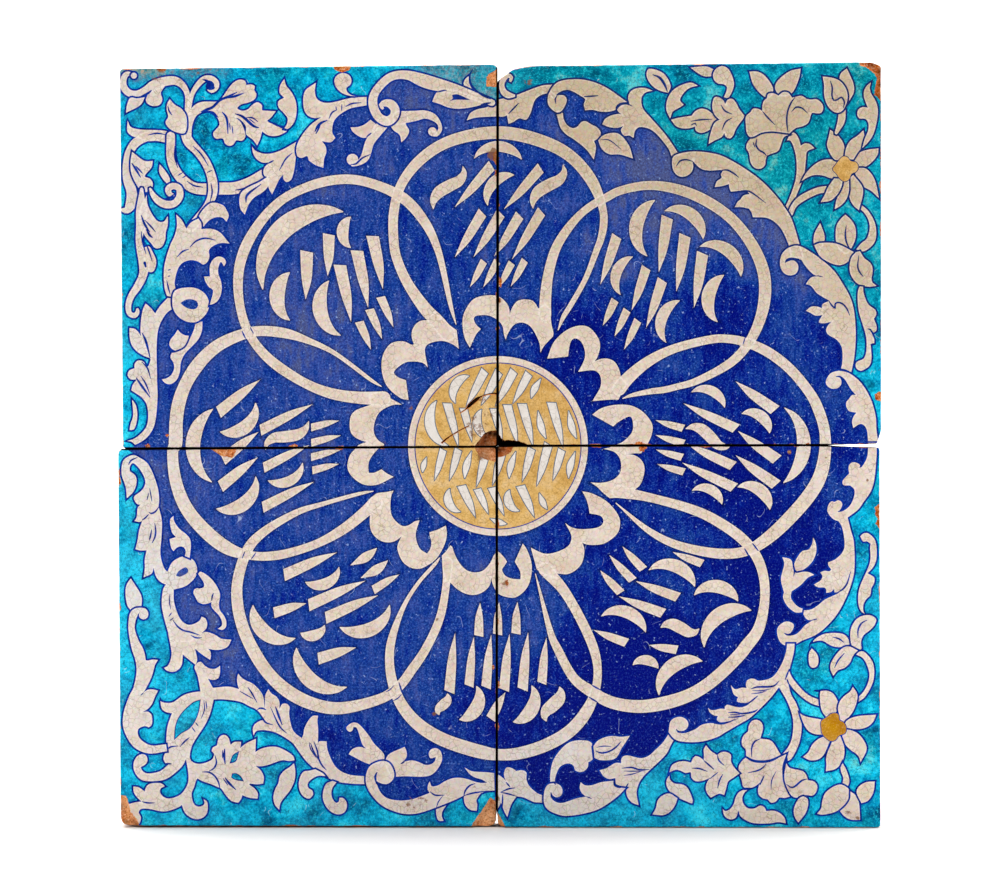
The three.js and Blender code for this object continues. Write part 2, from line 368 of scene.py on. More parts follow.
thin = add(turquoise, "MapRange", {}, thin, 0.38, 0.62)
pale = add(turquoise, "Attribute", {"attribute_name": "pale"})
thin = add(turquoise, "Math", {"operation": "MULTIPLY"}, thin, pale)
ground = add(turquoise, "Mix", {"data_type": "RGBA"}, thin, ground, "#36ccf2")
halo = add(turquoise, "Attribute", {"attribute_name": "halo"})
bled = add(turquoise, "MapRange", {}, mottle, 0.42, 0.56, 1.4, 0.4)
bled = add(turquoise, "Math", {"operation": "MULTIPLY", "use_clamp": True}, bled, halo)
ground = add(turquoise, "Mix", {"data_type": "RGBA"}, bled, ground, "#0468b4")
grain = add(turquoise, "TexNoise", {}, place, Scale=620, Detail=2, Roughness=0.85)
dark_grain = add(turquoise, "MapRange", {}, grain, 0.51, 0.27, 0, 0.9)
ground = add(turquoise, "Mix", {"data_type": "RGBA"}, dark_grain, ground, "#00587e")
bubbles = add(turquoise, "MapRange", {}, grain, 0.52, 0.7, 0, 0.8)
ground = add(turquoise, "Mix", {"data_type": "RGBA"}, bubbles, ground, "#2cd2e6")
ground = add(turquoise, "Mix", {"data_type": "RGBA"}, scratches(turquoise, place, 60), ground, "#c4e8e8")
worn = add(turquoise, "Attribute", {"attribute_name": "worn"})
crumbs = add(turquoise, "TexNoise", {}, place, Scale=420, Detail=4, Roughness=0.8)
crumbs = add(turquoise, "ValToRGB", {"stops": [(0.4, "#2c7070"), (0.5, "#7c9c88"), (0.6, "#cca47c")]},
             crumbs)
ground = add(turquoise, "Mix", {"data_type": "RGBA"}, worn, ground, crumbs)
glaze(turquoise, place, ground, "#0a5a78", 0.45)
MATERIALS["turquoise"] = turquoise

# White slip that has gone cream, yellower with age, pitted brown in places, and whitest in a thin rim
# where the colours stop short of it.
cream = new_material("cream_slip_under_clear_glaze")
place = add(cream, "TexCoord", {}).outputs["Object"]
clouds = add(cream, "TexNoise", {}, place, Scale=75, Detail=5, Roughness=0.6)
slip_colour = add(cream, "ValToRGB", {"stops": [(0.3, "#cfbaa8"), (0.7, "#e0d2c6")]}, clouds)
age = add(cream, "Attribute", {"attribute_name": "age"})
yellowed = add(cream, "Math", {"operation": "MULTIPLY"}, age, 0.85)
slip_colour = add(cream, "Mix", {"data_type": "RGBA"}, yellowed, slip_colour, "#baa688")
pale = add(cream, "Attribute", {"attribute_name": "pale"})
whiter = add(cream, "Math", {"operation": "MULTIPLY"}, pale, 0.6)
slip_colour = add(cream, "Mix", {"data_type": "RGBA"}, whiter, slip_colour, "#d4d6da")
hues = add(cream, "TexNoise", {}, place, Scale=420, Detail=2, Roughness=0.7).outputs["Color"]
slip_colour = add(cream, "Mix", {"data_type": "RGBA", "blend_type": "OVERLAY"}, 0.4, slip_colour, hues)
pits = add(cream, "TexNoise", {}, place, Scale=330, Detail=3, Roughness=0.7)
pits = add(cream, "MapRange", {}, pits, 0.64, 0.73, 0, 0.6)
slip_colour = add(cream, "Mix", {"data_type": "RGBA"}, pits, slip_colour, "#9a7650")
edge = add(cream, "Attribute", {"attribute_name": "edge"})
rim = add(cream, "Math", {"operation": "MULTIPLY"}, edge, 0.5)
slip_colour = add(cream, "Mix", {"data_type": "RGBA"}, rim, slip_colour, "#f4ece6")
glaze(cream, place, slip_colour, "#7e664c", 0.55)
MATERIALS["cream"] = cream

# The outlines: dark blue, royal where they are fresh and nearly black where the glaze has aged.
outline = new_material("dark_blue_outline")
place = add(outline, "TexCoord", {}).outputs["Object"]
clouds = add(outline, "TexNoise", {}, place, Scale=150, Detail=4, Roughness=0.7)
fresh = add(outline, "ValToRGB", {"stops": [(0.35, "#04186c"), (0.65, "#1238a0")]}, clouds)
age = add(outline, "Attribute", {"attribute_name": "age"})
line_colour = add(outline, "Mix", {"data_type": "RGBA"}, age, fresh, "#1c2a5c")
glaze(outline, place, line_colour, "#0c1340", 0.2)
MATERIALS["outline"] = outline

# The clouds of the cobalt, laid on by hand, and the painted sheen that greys it towards the top: place,
# reach and tone, with a middle tone between them.
TONES_AND_SHEEN = [
    (-60, 285, 75, 0.9), (-195, 250, 60, 0.2), (150, 235, 90, 1.15), (250, 185, 70, 1.2),
    (-265, 170, 55, 0.3), (-120, 190, 70, 0.6), (30, 200, 70, 0.5), (100, 165, 40, 0.75),
    (-150, 95, 70, 0.9), (-275, 75, 45, 0.8), (70, 70, 60, -0.2), (180, 95, 50, -0.1), (275, 85, 40, 0.1),
    (-270, -30, 70, 0.85), (-165, 0, 45, 0.65), (-75, 15, 50, 0.6), (110, -10, 50, 0.1),
    (195, -20, 70, -0.2), (285, 0, 30, 0.1), (-245, -150, 70, 0.83), (-150, -95, 55, 0.5),
    (-70, -110, 50, 0.58), (15, -125, 40, 0.6), (85, -80, 50, 0), (235, -120, 80, -0.4),
    (-110, -195, 60, 0.52), (5, -215, 45, 0), (110, -190, 80, -0.5), (-135, -262, 60, 0.15),
    (60, -270, 60, -0.5),
]

# Upper left tile: the two grounds that fill it. The turquoise covers the corner, and the cobalt inside the
# rosette stops at a wavy edge along the scrolls.
paint("turquoise", 0, (-150, 150), shape([(-150.8, 150.8)], [(150, 154.8)], [(150, -150.8)],
      [(-148.4, -150.8)]))
paint("cobalt", 0, (-140, 150), shape([(140, 123.6), (124.8, 128.4), (107.2, 134.8), (88, 139.6),
      (66.4, 145.2), (50.4, 139.6), (41.6, 128.4), (39.2, 122), (26.4, 123.6), (10.4, 120.4), (-3.2, 110.8),
      (-13.6, 90.8), (-20.8, 74.8), (-41.6, 58.8), (-65.6, 54.8), (-87.2, 53.2), (-89.6, 42.8),
      (-99.2, 22.8), (-113.6, 6.8), (-121.6, -13.2), (-120, -31.6), (-131.2, -47.6), (-132.8, -69.2),
      (-131.2, -113.2), (-136, -133.2)], [(-149.6, -150.8)], [(140, -150.8)]))

# Two stems that pass over and under each other in the corner, of bare slip in dark outlines. The brush left
# short ticks where one goes beneath the other.
slip((-280, 220), stroke([(10.4, 28, 7), (0.8, 26.4), (-8, 21.6), (-12.8, 14.4, 6.5), (-14.8, 4.8),
     (-14, -7.2, 8), (-11.2, -17.6), (-11.2, -25.6, 9), (-15.2, -32, 5.5), (-20, -31.6, 1.6)]),
     shape([(-14.4, 39.2), (-12, 34.4), (-5.6, 32.4), (19.2, 29.6), (18.4, 22.4), (8.8, 23.2), (0.8, 23.2)],
     [(-5.6, 26), (-10.4, 26.8), (-14.4, 30.4)]))
slip((-220, 230), stroke([(-40, 17.2, 6.5), (-39.6, -1.2, 7), (-36, -10.8, 7.5), (-29.6, -18.8, 8),
     (-20.8, -24.4, 8.5), (0, -24.8, 9.5), (11.2, -24.4), (22.4, -20.8), (38.4, -10.8, 8)]))
slip((-260, 240), stroke([(11.2, 9.6, 7), (14.4, 2.4, 8), (20.8, -4.4, 7), (27.2, -12.8), (31.6, -22.4),
     (33.6, -32, 7.5), (32.8, -40.8, 7), (28.8, -48.8, 5.5), (22.4, -58.4, 7), (16, -65.6, 6.5)]),
     stroke([(13.6, 6.4, 5.5), (14.4, 16), (17.6, 24.8, 6.5), (23.2, 29.6, 8), (36.8, 31.2, 6.5)]),
     stroke([(29.6, 44.4, 1.6), (32.4, 42.6, 2.4), (36, 45.2, 3.5), (36.4, 49.6, 4), (32, 53.2),
     (26.4, 52.4, 4.5), (17.6, 41.6, 3.5), (14, 22.4, 2.4)]), stroke([(-31.2, 56.4, 2.8), (-35.2, 56.4, 4),
     (-37.8, 52, 5), (-37.6, 46.4, 5.5), (-33.6, 41.6), (-27.2, 40.4), (-20, 43.2, 6.5), (-12.8, 48, 7.5),
     (3.2, 51.2, 6.5), (9.6, 47.2, 5), (13, 40.8, 4), (13.2, 25.6)]), loop([(-16, 42.4), (-19.6, 38.4),
     (-19.2, 33.6), (-14.4, 31), (-8.8, 32), (-6.8, 36), (-8, 41.6), (-4.8, 47.2)]))
slip((-290, 300), disc(0.6, -4.8, 2.4))
slip((-290, 270), shape([(-5.6, -4.4), (-4.8, 2), (-2, 7.6), (2.8, 7)], [(9.2, 8), (6.4, 2.4)]))
slip((-260, 260), shape([(-0.8, 16.4), (3.2, 12), (8.4, 8.8), (12.4, 2.4), (11.2, -10.4), (4.8, -10),
     (-1.6, -6.4), (-4.2, -2), (-2, 2.4), (-3.2, 8), (-2.8, 12.8)]))

# A broad leaf with deep lobes on the right of the stem, left bare of colour. Its veins are single strokes of
# the outline brush.
slip((-200, 270), shape([(-33.6, -3.2), (-28, -3.6), (-23.2, -7.6), (-21.2, -14), (-26.2, -20.8),
     (-24.4, -24.8), (-18.4, -25), (-16.8, -28.8), (-13.6, -30.8), (-10, -29.6), (-8, -26.4), (-3.2, -26.6),
     (-0.6, -23.6), (-4, -12.4), (-8, -8.4), (-4.8, -9.6), (0, -15.6), (0, -21.2), (5.6, -26)],
     [(8.8, -30.4), (11.2, -25.2)], [(12.8, -19.2), (16.8, -22), (21.6, -23), (27.2, -22), (32.8, -18.4),
     (30.8, -16.4), (25.6, -15.6), (20, -12.8), (16.8, -11), (20, -8)], [(23.6, -3.2), (16.8, -2.8),
     (12.6, -2.2), (12.8, 1.2), (9.2, 4), (5.2, 2), (1.6, -1.6), (-3.2, -2.8), (-7, -0.8), (-4, 2.2),
     (2.4, 4), (7.2, 6.8), (8.2, 10.8), (6.4, 13.6), (7, 16.8), (3.6, 18.2)], [(0.2, 17.6), (-0.8, 20.8),
     (-4.8, 22), (-10, 19.6), (-24.8, 0.8)]))
draw((-240, 270), 1, [(26.8, -12.4), (27.4, -18)], [(28.8, -14.8), (29.6, -21.2)], [(42.4, -9.2),
     (47.2, -12.8)])
draw((-240, 270), 1.4, [(40, -8.4), (44.8, -8.4), (49.6, -11.6)], [(6.8, -3), (13.6, -4), (18, -8.4)],
     [(-22.4, 1.2), (-21.2, -3.2), (-18.8, -6.4)])
draw((-240, 270), 2, [(6.4, -3.2), (12.8, -0.4), (19.2, 5.6), (25.6, 8.4), (32.8, 12)], [(24, 7.2),
     (31.2, 8.8), (38, 11.2)], [(20.8, -3.6), (24.4, -8.4), (25.6, -21.2)], [(31.2, -5.2), (36.8, -7.2),
     (46.4, -15.2), (50.4, -16.4)], [(-35.2, 13.6), (-38, 11.2), (-44, 8.6)])
paint("outline", 0, (-240, 270), loop([(4.8, 22), (9.2, 22), (15.2, 15.2), (10.8, 13.6), (7.6, 16.4),
      (8.8, 19.6)]))

# A small leaf with a curled tip above the stems, drawn in one outline with the brush pressed down at its
# root.
slip((-170, 270), shape([(0.4, 22.4), (2, 17.2), (6.4, 11.6), (9.6, 4.4), (10.2, -4.4), (8, -12.4),
     (3.2, -17.2), (0.4, -17.2), (2.4, -14), (3.2, -9.2), (0, -4.4), (-4, 0), (-4.4, 4.4)], [(0.4, 7.6),
     (-3.2, 11.6), (-2.8, 17.2)]))
draw((-170, 260), 1.4, [(2.4, -7.6), (-2, -6), (-7.6, -2)])

# Veins along the bent stems, each a light stroke of the outline brush that thins out at its ends.
draw((-250, 220), 1, [(-4.4, -4.4), (-0.4, -2)], [(-0.8, -6.4), (2.8, -4)], [(18.8, -2), (23.2, -0.2)])
draw((-250, 220), 1.4, [(-6.8, 19.2), (-6.8, 10.4), (-4.4, 1.6)], [(2.8, -8.8), (8.4, -12.4), (16, -13.8)],
     [(7.6, 19.2), (14, 12.8), (20, 3.2)], [(22, -10.4), (23, -17.6), (21.2, -25.6)], [(-28.4, 27.8),
     (-21.2, 29.2), (-13.2, 28)])

# A pointed leaf inside the bend of the left stem, and the bud beside it, both bare slip with brushed veins.
slip((-280, 220), shape([(-10.8, 14.4), (-0.8, 7.2)], [(5.6, 7.2), (4.8, 2.4), (-0.8, -5.2), (3.2, -6.8),
     (5.6, -10.4), (4.8, -15.2), (1.2, -17.6), (-3.2, -16.8), (-11.2, -3.2), (-12, 6.4)]))
draw((-280, 210), 1.4, [(-8, 13.2), (-2.4, 7.2)], [(-8.8, -2), (-4, -6.8), (1.2, -8)])
draw((-280, 210), 2, [(-11.2, 15.6), (-8, 10.8), (-4, 4)])
slip((-260, 220), shape([(-8.8, 4.4), (-4.4, -0.8), (-0.8, -7.2)], [(-1.2, -12.4), (-5.6, -8),
     (-9.2, -1.6)]))
slip((-260, 200), stroke([(2.8, 0, 1.6), (-0.8, 0.8, 4), (-2, 4.8, 5), (1.6, 7.2), (6.4, 5.6),
     (7.2, -0.8, 5.5), (3.2, -6.4), (-3.2, -7.6, 6), (-9.6, -4.8, 5.5), (-14, 0, 4), (-16.4, 4.8, 2)]))
draw((-260, 200), 2, [(-4.8, -2.8), (-0.4, -2), (2.8, 0.8)])

# A spray of narrow leaves that goes down along the left edge, the outlines running off the tile where the
# pattern was cut.
slip((-280, 150), stroke([(-3.2, 54.8, 2.4), (-3.6, 37.2, 8), (-4, 26, 7), (-5.2, 14.8, 5.5),
     (-3.6, 4.4, 6.5), (-1.6, -2.8, 8), (-2, -13.2, 6.5), (-6.4, -22.8, 6), (-11.6, -30.8, 5),
     (-13.8, -38, 4.5), (-12.8, -44.4, 4), (-8.8, -46), (-6.4, -42.8, 3), (-6.8, -40.4, 1.6)]),
     shape([(0.8, 50), (1.6, 42), (9.6, 29.2), (14.4, 28.8)], [(17.6, 33.2), (17.6, 26), (16, 20.4),
     (15.6, 14.8), (12.8, 8.8), (8, 7.6), (4, 12), (-0.8, 18), (-4, 26), (-4, 38.8)]), shape([(-3.2, 6.8),
     (2.4, 9.2), (5.6, 4.4), (8.4, -3.6), (5.6, -11.2), (0.4, -10), (-0.4, -2.8)]))
draw((-280, 160), 1.4, [(-0.8, 20), (4, 15.2), (8, 10.4)], [(-3.6, 11.2), (-2.4, 2.4), (0.4, -7.2)],
     [(-0.4, 2.4), (2.4, -4), (5.2, -12.8)])
draw((-280, 160), 2, [(-3.6, 24), (-0.8, 16.8), (3.2, 10.4)], [(0.4, 12.8), (3.2, 8), (5.6, 6)])
paint("outline", 0, (-280, 160), stroke([(-0.8, -14, 2.4), (0.2, -17.6, 1.2)]))

# The scroll along the top edge, left of the joint: a long leaf whose curls lie over the edge of the cobalt,
# with its stems and buds.
slip((-200, 210), shape([(4.8, 29.2), (10.4, 24), (16.8, 22.8), (26.4, 25)], [(40.8, 32.8), (38, 8.4),
     (35.6, 2), (32, 0.4), (29.6, 3.2)], [(29.8, 6.4), (27.2, 3.6)], [(20.8, -9.4), (18.4, -5.2),
     (17.4, 0.4)], [(18.4, 4.4), (14.8, 5.2), (13.8, 8.8), (15.2, 12.8), (18.8, 16), (13.6, 15.8),
     (8.4, 18.8), (5.6, 23.6)]), shape([(18, 5.2), (17.6, -2.8), (12.8, -8), (6.4, -12), (2, -17.6)],
     [(-1, -25.6), (-4.6, -20.4), (-4, -8.4), (12, 1.2)]), shape([(-15.6, -31.2), (-18.8, -28),
     (-23.6, -27.6), (-29.2, -30)], [(-35.6, -37.2), (-35.6, -32.4), (-38, -28.4), (-28, -16.4),
     (-18, -18.4), (-15.6, -22), (-13.8, -26.4)]))
draw((-200, 210), 1, [(30.8, 17.2), (26.4, 9.6)])
draw((-200, 210), 1.4, [(36.8, 23.6), (32, 19.2), (28, 13.2)], [(-8.8, -6), (-4, -5.4), (0.8, -3.4)],
     [(22, 17.6), (17.6, 15.2)], [(-38, -28), (-35.8, -31.6), (-35.4, -37.2)])
draw((-200, 210), 2, [(4.8, 29.6), (7.2, 26.8), (10.4, 24.2)], [(0, -16), (0.4, -10.8), (12, -1.2)])
slip((-130, 260), shape([(-14.4, 29.6), (-15.2, 22.4), (-13.6, 16.8), (-9.2, 14), (-2.8, 13.6), (14, 17.4)],
     [(26, 18.2)], [(26, 11.6), (11.6, 8.4), (0.4, -0.4), (-1.2, -10.4)], [(1.2, -14.4), (-2.4, -17.8)],
     [(-9.6, -17), (-6.6, -21.2), (-6, -25.6), (-7.8, -31.2)], [(-8.4, -38.2), (-14.8, -36)], [(-20, -32.4),
     (-21.2, -28.8), (-25.6, -30.4), (-28.8, -29.2), (-30, -24), (-28.4, -17.6), (-19.6, -5.2)],
     [(-10, 2.2), (-15.6, 1.4), (-20.4, 3.2), (-23.6, 8), (-23.2, 22.4)]))
draw((-130, 260), 1, [(6.4, 12.4), (6.2, 7.2)], [(1.6, 10.8), (2, 7.6)])
draw((-130, 260), 1.4, [(-10.8, -4.4), (-14.4, -11.2)], [(2.8, 8), (-1.2, 6), (-4, 0.8)], [(9.2, 10.4),
     (14, 12.8), (22, 13.6)])
draw((-130, 260), 2, [(-5.2, -0.4), (-10, -2.4), (-13.2, -5.6), (-15.2, -9.6)])
slip((-120, 290), shape([(8, -11.2), (1.6, -10.6), (-4.4, -8), (-8.4, -3.6), (-9.6, 1.6), (-7.2, 5.6),
     (-2.8, 7.2), (2, 5.6), (4, 1.6), (2.8, -2.4), (0, -4.4), (0.4, -7.6), (4, -10.4)]))
slip((-80, 250), shape([(-20.8, 10), (-25.6, 6.2), (-31.2, 4.2)], [(-36.8, 4), (-34.8, 0.4), (-25.6, -4.4),
     (-15.2, 4.4)]), stroke([(-10.4, 7.6, 9.5), (-16, -0.4, 7.5), (-21.2, -7.6, 7), (-25.6, -20.4, 6.5),
     (-30.4, -24.4, 4), (-35.2, -26, 2.4)]), disc(-35.2, -21.7, 4.6), shape([(-4.8, 5.2), (-0.8, 10.8)],
     [(4.8, 17.2), (8.8, 12.4), (7.2, 6.8), (10, 1.2), (7.2, -4.8)], [(3.8, -7.8), (2.4, -2), (-2.4, 1.6)]),
     stroke([(2.4, 11.6, 10.5), (15.2, 13.2, 8), (22.4, 14.2, 6.5), (29.2, 12, 5.5), (34, 6.8, 3),
     (34.6, 2), (31.6, -1.6, 3.5), (28, -0.8, 4)]), disc(28.5, 0.7, 3.4))
draw((-110, 240), 1.4, [(9.2, -7.6), (2.8, -10.4), (-2.8, -15.2), (-6.8, -15.6)], [(10, 9.6), (6, 6.4)])
slip((-10, 270), shape([(-14, -10.4), (-11.2, -4.8), (-6, -1.8), (2, 0), (7.6, 3.2)], [(10.4, 4.4)],
     [(10.4, -7.2), (-7.6, -8.4)]))
slip((-20, 290), shape([(-2.6, 4.8), (-2.4, -0.4), (0, -5.2), (4.8, -9.6), (-0.8, -8), (-5.2, -4.4),
     (-6.6, -0.8), (-5.2, 2.4)]))
slip((-50, 280), stroke([(-40.8, -11.6, 1.6), (-42.2, -8.4, 4), (-38.8, -6.6, 5.5), (-34.4, -7.6, 7),
     (-31.2, -12), (-32.4, -17.6), (-37.2, -21, 7.5), (-43.2, -18.8, 7), (-47.4, -12.8), (-49, -5.6),
     (-47.2, 1.6, 6.5), (-36.4, 13.2), (-28.4, 15.8), (-19.6, 15.2, 7.5), (-10.8, 12, 10), (-2, 9.2, 10.5),
     (17.2, 4.4, 7.5), (46, -6.4, 5)]), shape([(-1.6, -5.6), (4.4, -7.4), (10.8, -10), (18.8, -11.2),
     (34.8, -8.8)], [(44.4, -4.8), (28.4, -0.8), (16.4, 3.2), (4.4, 4), (1.2, 0.8)]))
draw((-30, 290), 1.4, [(-18.8, -8.2), (-14, -7), (-10, -6.4)], [(10.8, 10.4), (8.4, 6), (9, -0.4),
     (13.2, -6.4), (19.6, -11.2), (25.2, -13.6)])
draw((-30, 290), 2, [(17.2, -17.8), (21.2, -17.2), (25.2, -16.4)])
paint("outline", 0, (-30, 290), shape([(-8.4, -15.6), (-5.2, -12.8)], [(-6, -10.4), (-2, -9.6)],
      [(8.8, -14.2), (-4.4, -14.2)]))

# The scroll that climbs the lower half of the left edge, and ends in the curl above the level joint.
slip((-240, 150), shape([(-15.6, 34.4), (-11.2, 30)], [(-7.6, 23.2), (-4, 28)], [(2, 31.2), (4.2, 27.6)],
     [(4.4, 22.8), (11.2, 23.2), (18.4, 20.8)], [(26.8, 11.4), (20, 11.8), (14, 9.6), (10.4, 6),
     (10.8, 1.2), (9.2, -3.2), (6, -5.4), (2, -3), (-4, -1.8), (-9.6, -3.4), (-13.6, -7.4), (-17, -20.4),
     (-16, -26.8)], [(-19.2, -32.4)], [(-22.8, -30.8), (-24.8, -24.4), (-25.2, -7.6), (-20.4, 10),
     (-16.8, 18), (-15, 26)]))
slip((-280, 60), shape([(0, 53.6), (4, 50)], [(7.6, 45.6), (11.2, 51.2)], [(17.6, 58), (21.6, 56.8)],
     [(22, 49.6), (17.2, 46.4), (10.2, 33.6), (9, -5.6), (9.4, -21.6), (6.8, -43.6), (2.4, -51.6),
     (-3.2, -56.4)], [(-8.4, -59), (-11.6, -56.4)], [(-14.8, -56), (-8.4, -53.8), (0.8, -44), (1.2, -28),
     (-2.4, -22)], [(-11.4, -15.6), (-10.4, -11.6)], [(-6.8, -6.8), (-12, -6.8), (-14.4, -3.6), (-13.2, 0)],
     [(-8.8, 2), (-8.8, 5.2), (-6.4, 8), (-2.4, 7.6), (1.6, 3.2)], [(4, 8.8), (-1.6, 20), (-4, 30.4),
     (-2.4, 48)]), shape([(-12.8, 34), (-8.4, 33.2), (-4.8, 29.2), (-2.4, 24), (0.8, 17.6)], [(3.6, 10),
     (-1.6, 12), (-7.2, 15.6), (-11.2, 20.8), (-12.8, 27.6)]))
slip((-250, 70), shape([(15.2, 29.2), (14.8, 22), (12, 15.2), (0.8, 2.8), (-2, -3.6), (-2.8, -10.8),
     (-5.6, -17.6), (-10.8, -20.8), (-14.8, -19.6)], [(-17.2, -16.8), (-13.2, -16), (-9.2, -12.8),
     (-7.2, -7.6), (-8, -3.2), (-10.2, 0.4), (-9.2, 4), (-4.4, 5.6), (1.2, 8.8), (8, 21.6)], [(10, 28.4)]),
     shape([(-4.4, 22.8), (-2, 20), (2, 18), (5.2, 17.6), (0.4, 7.6), (-4.4, 5.6), (-9.2, 7.6),
     (-11.2, 11.2), (-9.6, 15.6), (-7.2, 18.4)]))
slip((-240, 110), loop([(-16.8, 13.6), (-4.8, 16.4), (2.4, 14.8), (8, 10.4), (10.4, 4.4), (9.6, -2),
     (5.6, -7.6), (0, -11.2), (-7.2, -10.8), (-13.6, -7.2), (-17.6, -1.6), (-18.8, 5.2)]))
paint("cobalt", 0, (-250, 110), shape([(-2.4, 4), (2, 6.6), (6.4, 7), (10.8, 5.2), (11.8, 2), (10, -0.6),
      (5.2, -0.8), (0.8, 1.2)]))
slip((-220, 130), shape([(2.4, 13.2), (4, 16.4), (2.4, 19.6), (-2.4, 21), (-6.4, 18.4), (-8.8, 13.6)],
     [(-8.8, 5.2)], [(-13.6, 5), (-12, 0.4), (-9.2, -3.6), (-6.4, -5.6)], [(-8.8, -17.6), (-4.4, -15.8),
     (-1.2, -12), (0.6, -5.6), (0, 1.2), (-2.2, 7.6), (-2, 12.8), (0, 16.8)]))
slip((-290, 20), shape([(-0.8, 16.8), (2, 12.8), (3.2, 2.4), (0.4, -6.8)], [(-2.8, -7.2), (-2, -2.4),
     (0, 4)]))
draw((-260, 100), 1, [(-2.4, 40), (0, 40.8)], [(-2.4, 35.2), (-0.4, 35.6)])
draw((-260, 100), 1.4, [(15.2, 58.4), (20, 63.2), (27.2, 65.6), (36, 64)], [(4.8, 50.4), (9.6, 55.2),
     (14.4, 56.8)], [(-3.2, 32), (-2, 26.4), (-0.4, 20.8)], [(-23.2, -32.8), (-18.8, -37.6), (-16, -46.4)],
     [(-24, -44), (-20, -50.4), (-16.8, -58.4)], [(15.2, -9.6), (14, -16), (10.4, -21.6), (3.2, -24.8),
     (-0.8, -25.6)])
draw((-260, 100), 2, [(-22.8, -10), (-20, -16), (-16.4, -30)], [(-27.6, -45.6), (-23.2, -52),
     (-16.4, -61.2)])

# Upper right tile: its two grounds, the turquoise of the corner and the cobalt, which meet in one long
# sweep with shallow lobes.
paint("turquoise", 0, (150, 150), shape([(-149.2, 133.2)], [(-145.2, 146.8)], [(-123.6, 153.2)],
      [(138.8, 156.4)], [(156.4, 154)], [(156.4, -138)], [(153.2, -148.4)], [(-149.2, -150)]))
paint("cobalt", 0, (150, 140), shape([(-149.2, 128.8), (-131.6, 132.8), (-107.6, 140.8), (-87.6, 144.8),
      (-67.6, 140.8), (-47.6, 127.2), (-27.6, 116.8), (-10, 96.8), (12.4, 88.8), (44.4, 72.8), (72.4, 48.8),
      (86, 24.8), (89.2, 12.8), (108.4, -7.2), (124.4, -31.2), (130.8, -59.2), (130, -82.4), (138.8, -93.6),
      (146.8, -112.8)], [(149.2, -140)], [(-149.2, -140)]))

# The leaves and curls along the top edge, right of the joint, of bare slip. They carry on from the tile
# beside it, though the lines don't quite meet.
slip((20, 270), shape([(-19.2, 6), (-7.2, 8.8), (16, 17.2)], [(24, 18)], [(21.6, 11.6), (15.2, 9.8),
     (10.4, 6), (6.4, -5.2), (3.2, -9.8), (-2.4, -8.8), (-6.8, -11.6)], [(-10.8, -13.2)], [(-12, -6.4),
     (-15.6, -7.6)], [(-19.2, -7.2)]))
slip((10, 290), stroke([(0.4, 0.4, 1.6), (1.4, 3.6, 2.8), (-1.2, 5.4, 3.5), (-4.6, 2.8, 4.5),
     (-6.2, -2.8, 4), (-4.4, -8, 5), (-0.8, -10.4), (4.4, -10.8, 1.6)]))
draw((10, 270), 1.4, [(7.2, 3.2), (-0.8, -5.2)])
slip((70, 250), shape([(7.2, -21.6), (8.8, -11.6)], [(7.2, -6.8), (11.6, -4), (12.6, 0), (9.6, 4),
     (4.8, 6.4), (0.8, 8.8), (-2.4, 8.4), (-5.6, 4.8), (-9.2, 3.2), (-14, 5.6), (-17, 10.8), (-18, 16),
     (-22.4, 16.4), (-21.2, 10), (-19.2, 3.6), (-14.8, -1.6), (-9.2, -5.2), (1.2, -13.6)]))
slip((70, 280), shape([(35.6, -7.2), (30, -8.8)], [(26, -11.6), (19.6, -13.4), (12.4, -13.4), (6, -12)],
     [(0.4, -12.4), (-0.8, -8), (0.4, -3.6), (-2.8, -1.2), (-14, 4), (-22.4, 0.4), (-23.6, -3.2),
     (-28, 0.8), (-23.6, 8.4), (-18, 11.2), (-2, 12), (14, 7.2)]), loop([(-27.6, 2.4), (-29.6, -4),
     (-28.4, -9.2), (-22, -14.2), (-18.4, -12.8), (-14.4, -4), (-16.4, -0.8), (-20.4, -0.4),
     (-22.8, -0.8)]))
draw((60, 280), 1.4, [(-13, -7.2), (-13.6, -3.6), (-12, -0.8)], [(9.2, -1.6), (20.8, -0.8)])
slip((90, 240), shape([(-9.2, 3.6), (-5.2, 7.6), (6, 9.2), (14.8, 0)], [(18.4, -10.8), (7.6, -7.6),
     (0.4, -7.6), (-4.4, -5.2), (-7.6, -1.2)]))
draw((90, 240), 1, [(-7.6, 4), (-1.2, 4), (9.2, -3.6)])
slip((110, 260), shape([(-4.4, 12.8), (-5.4, 18.4), (-3.2, 22.8), (2, 25.2), (8.4, 25.2)], [(14, 23.2),
     (8.8, 22), (5.6, 18.8), (5, 13.6), (6.8, 8), (12.4, 1.6), (25.2, -13.2)], [(35.2, -28)],
     [(29.2, -29.2), (26.8, -23.2), (14.8, -9.2), (8.4, -6.2), (2.8, -6), (0, -8.8)], [(-1.2, -14.4),
     (-4.8, -12.4), (-8.4, -12.8), (-11.2, -8.4)], [(-9.2, -4.8), (-14, -6.4), (-20.4, -5.8)], [(-26, -3.6),
     (-24, 0.4), (-19.6, 3.2), (-13.2, 4.6)], [(-10.8, 4.4), (-13.6, 6.8), (-14, 9.6), (-11.6, 12)]))
draw((100, 270), 1.4, [(-4, -1.2), (-1.6, 2), (3.2, 2.8), (8, 0.8)])
slip((130, 290), shape([(6.4, -8.4), (1.2, -7.2), (-4.4, -4.4), (-8.8, 0.4), (-10.8, 6), (-9.2, 10.4),
     (2.8, 6.8), (8.4, -3.6)]))
draw((130, 290), 2, [(-6, 6), (-0.4, 3.6), (3.6, -2), (5.8, -7.6)])
slip((150, 280), shape([(10, 7.2), (4.4, 9.6), (-7.6, 5.2), (-12.4, 0), (-14.8, -6.4), (-14.8, -12.8)],
     [(-12, -18.8), (-10, -13.6), (-5.2, -10.6)], [(-1.2, -8), (-4.2, -4.4), (0.4, 3.2), (4.4, 5.8)]))
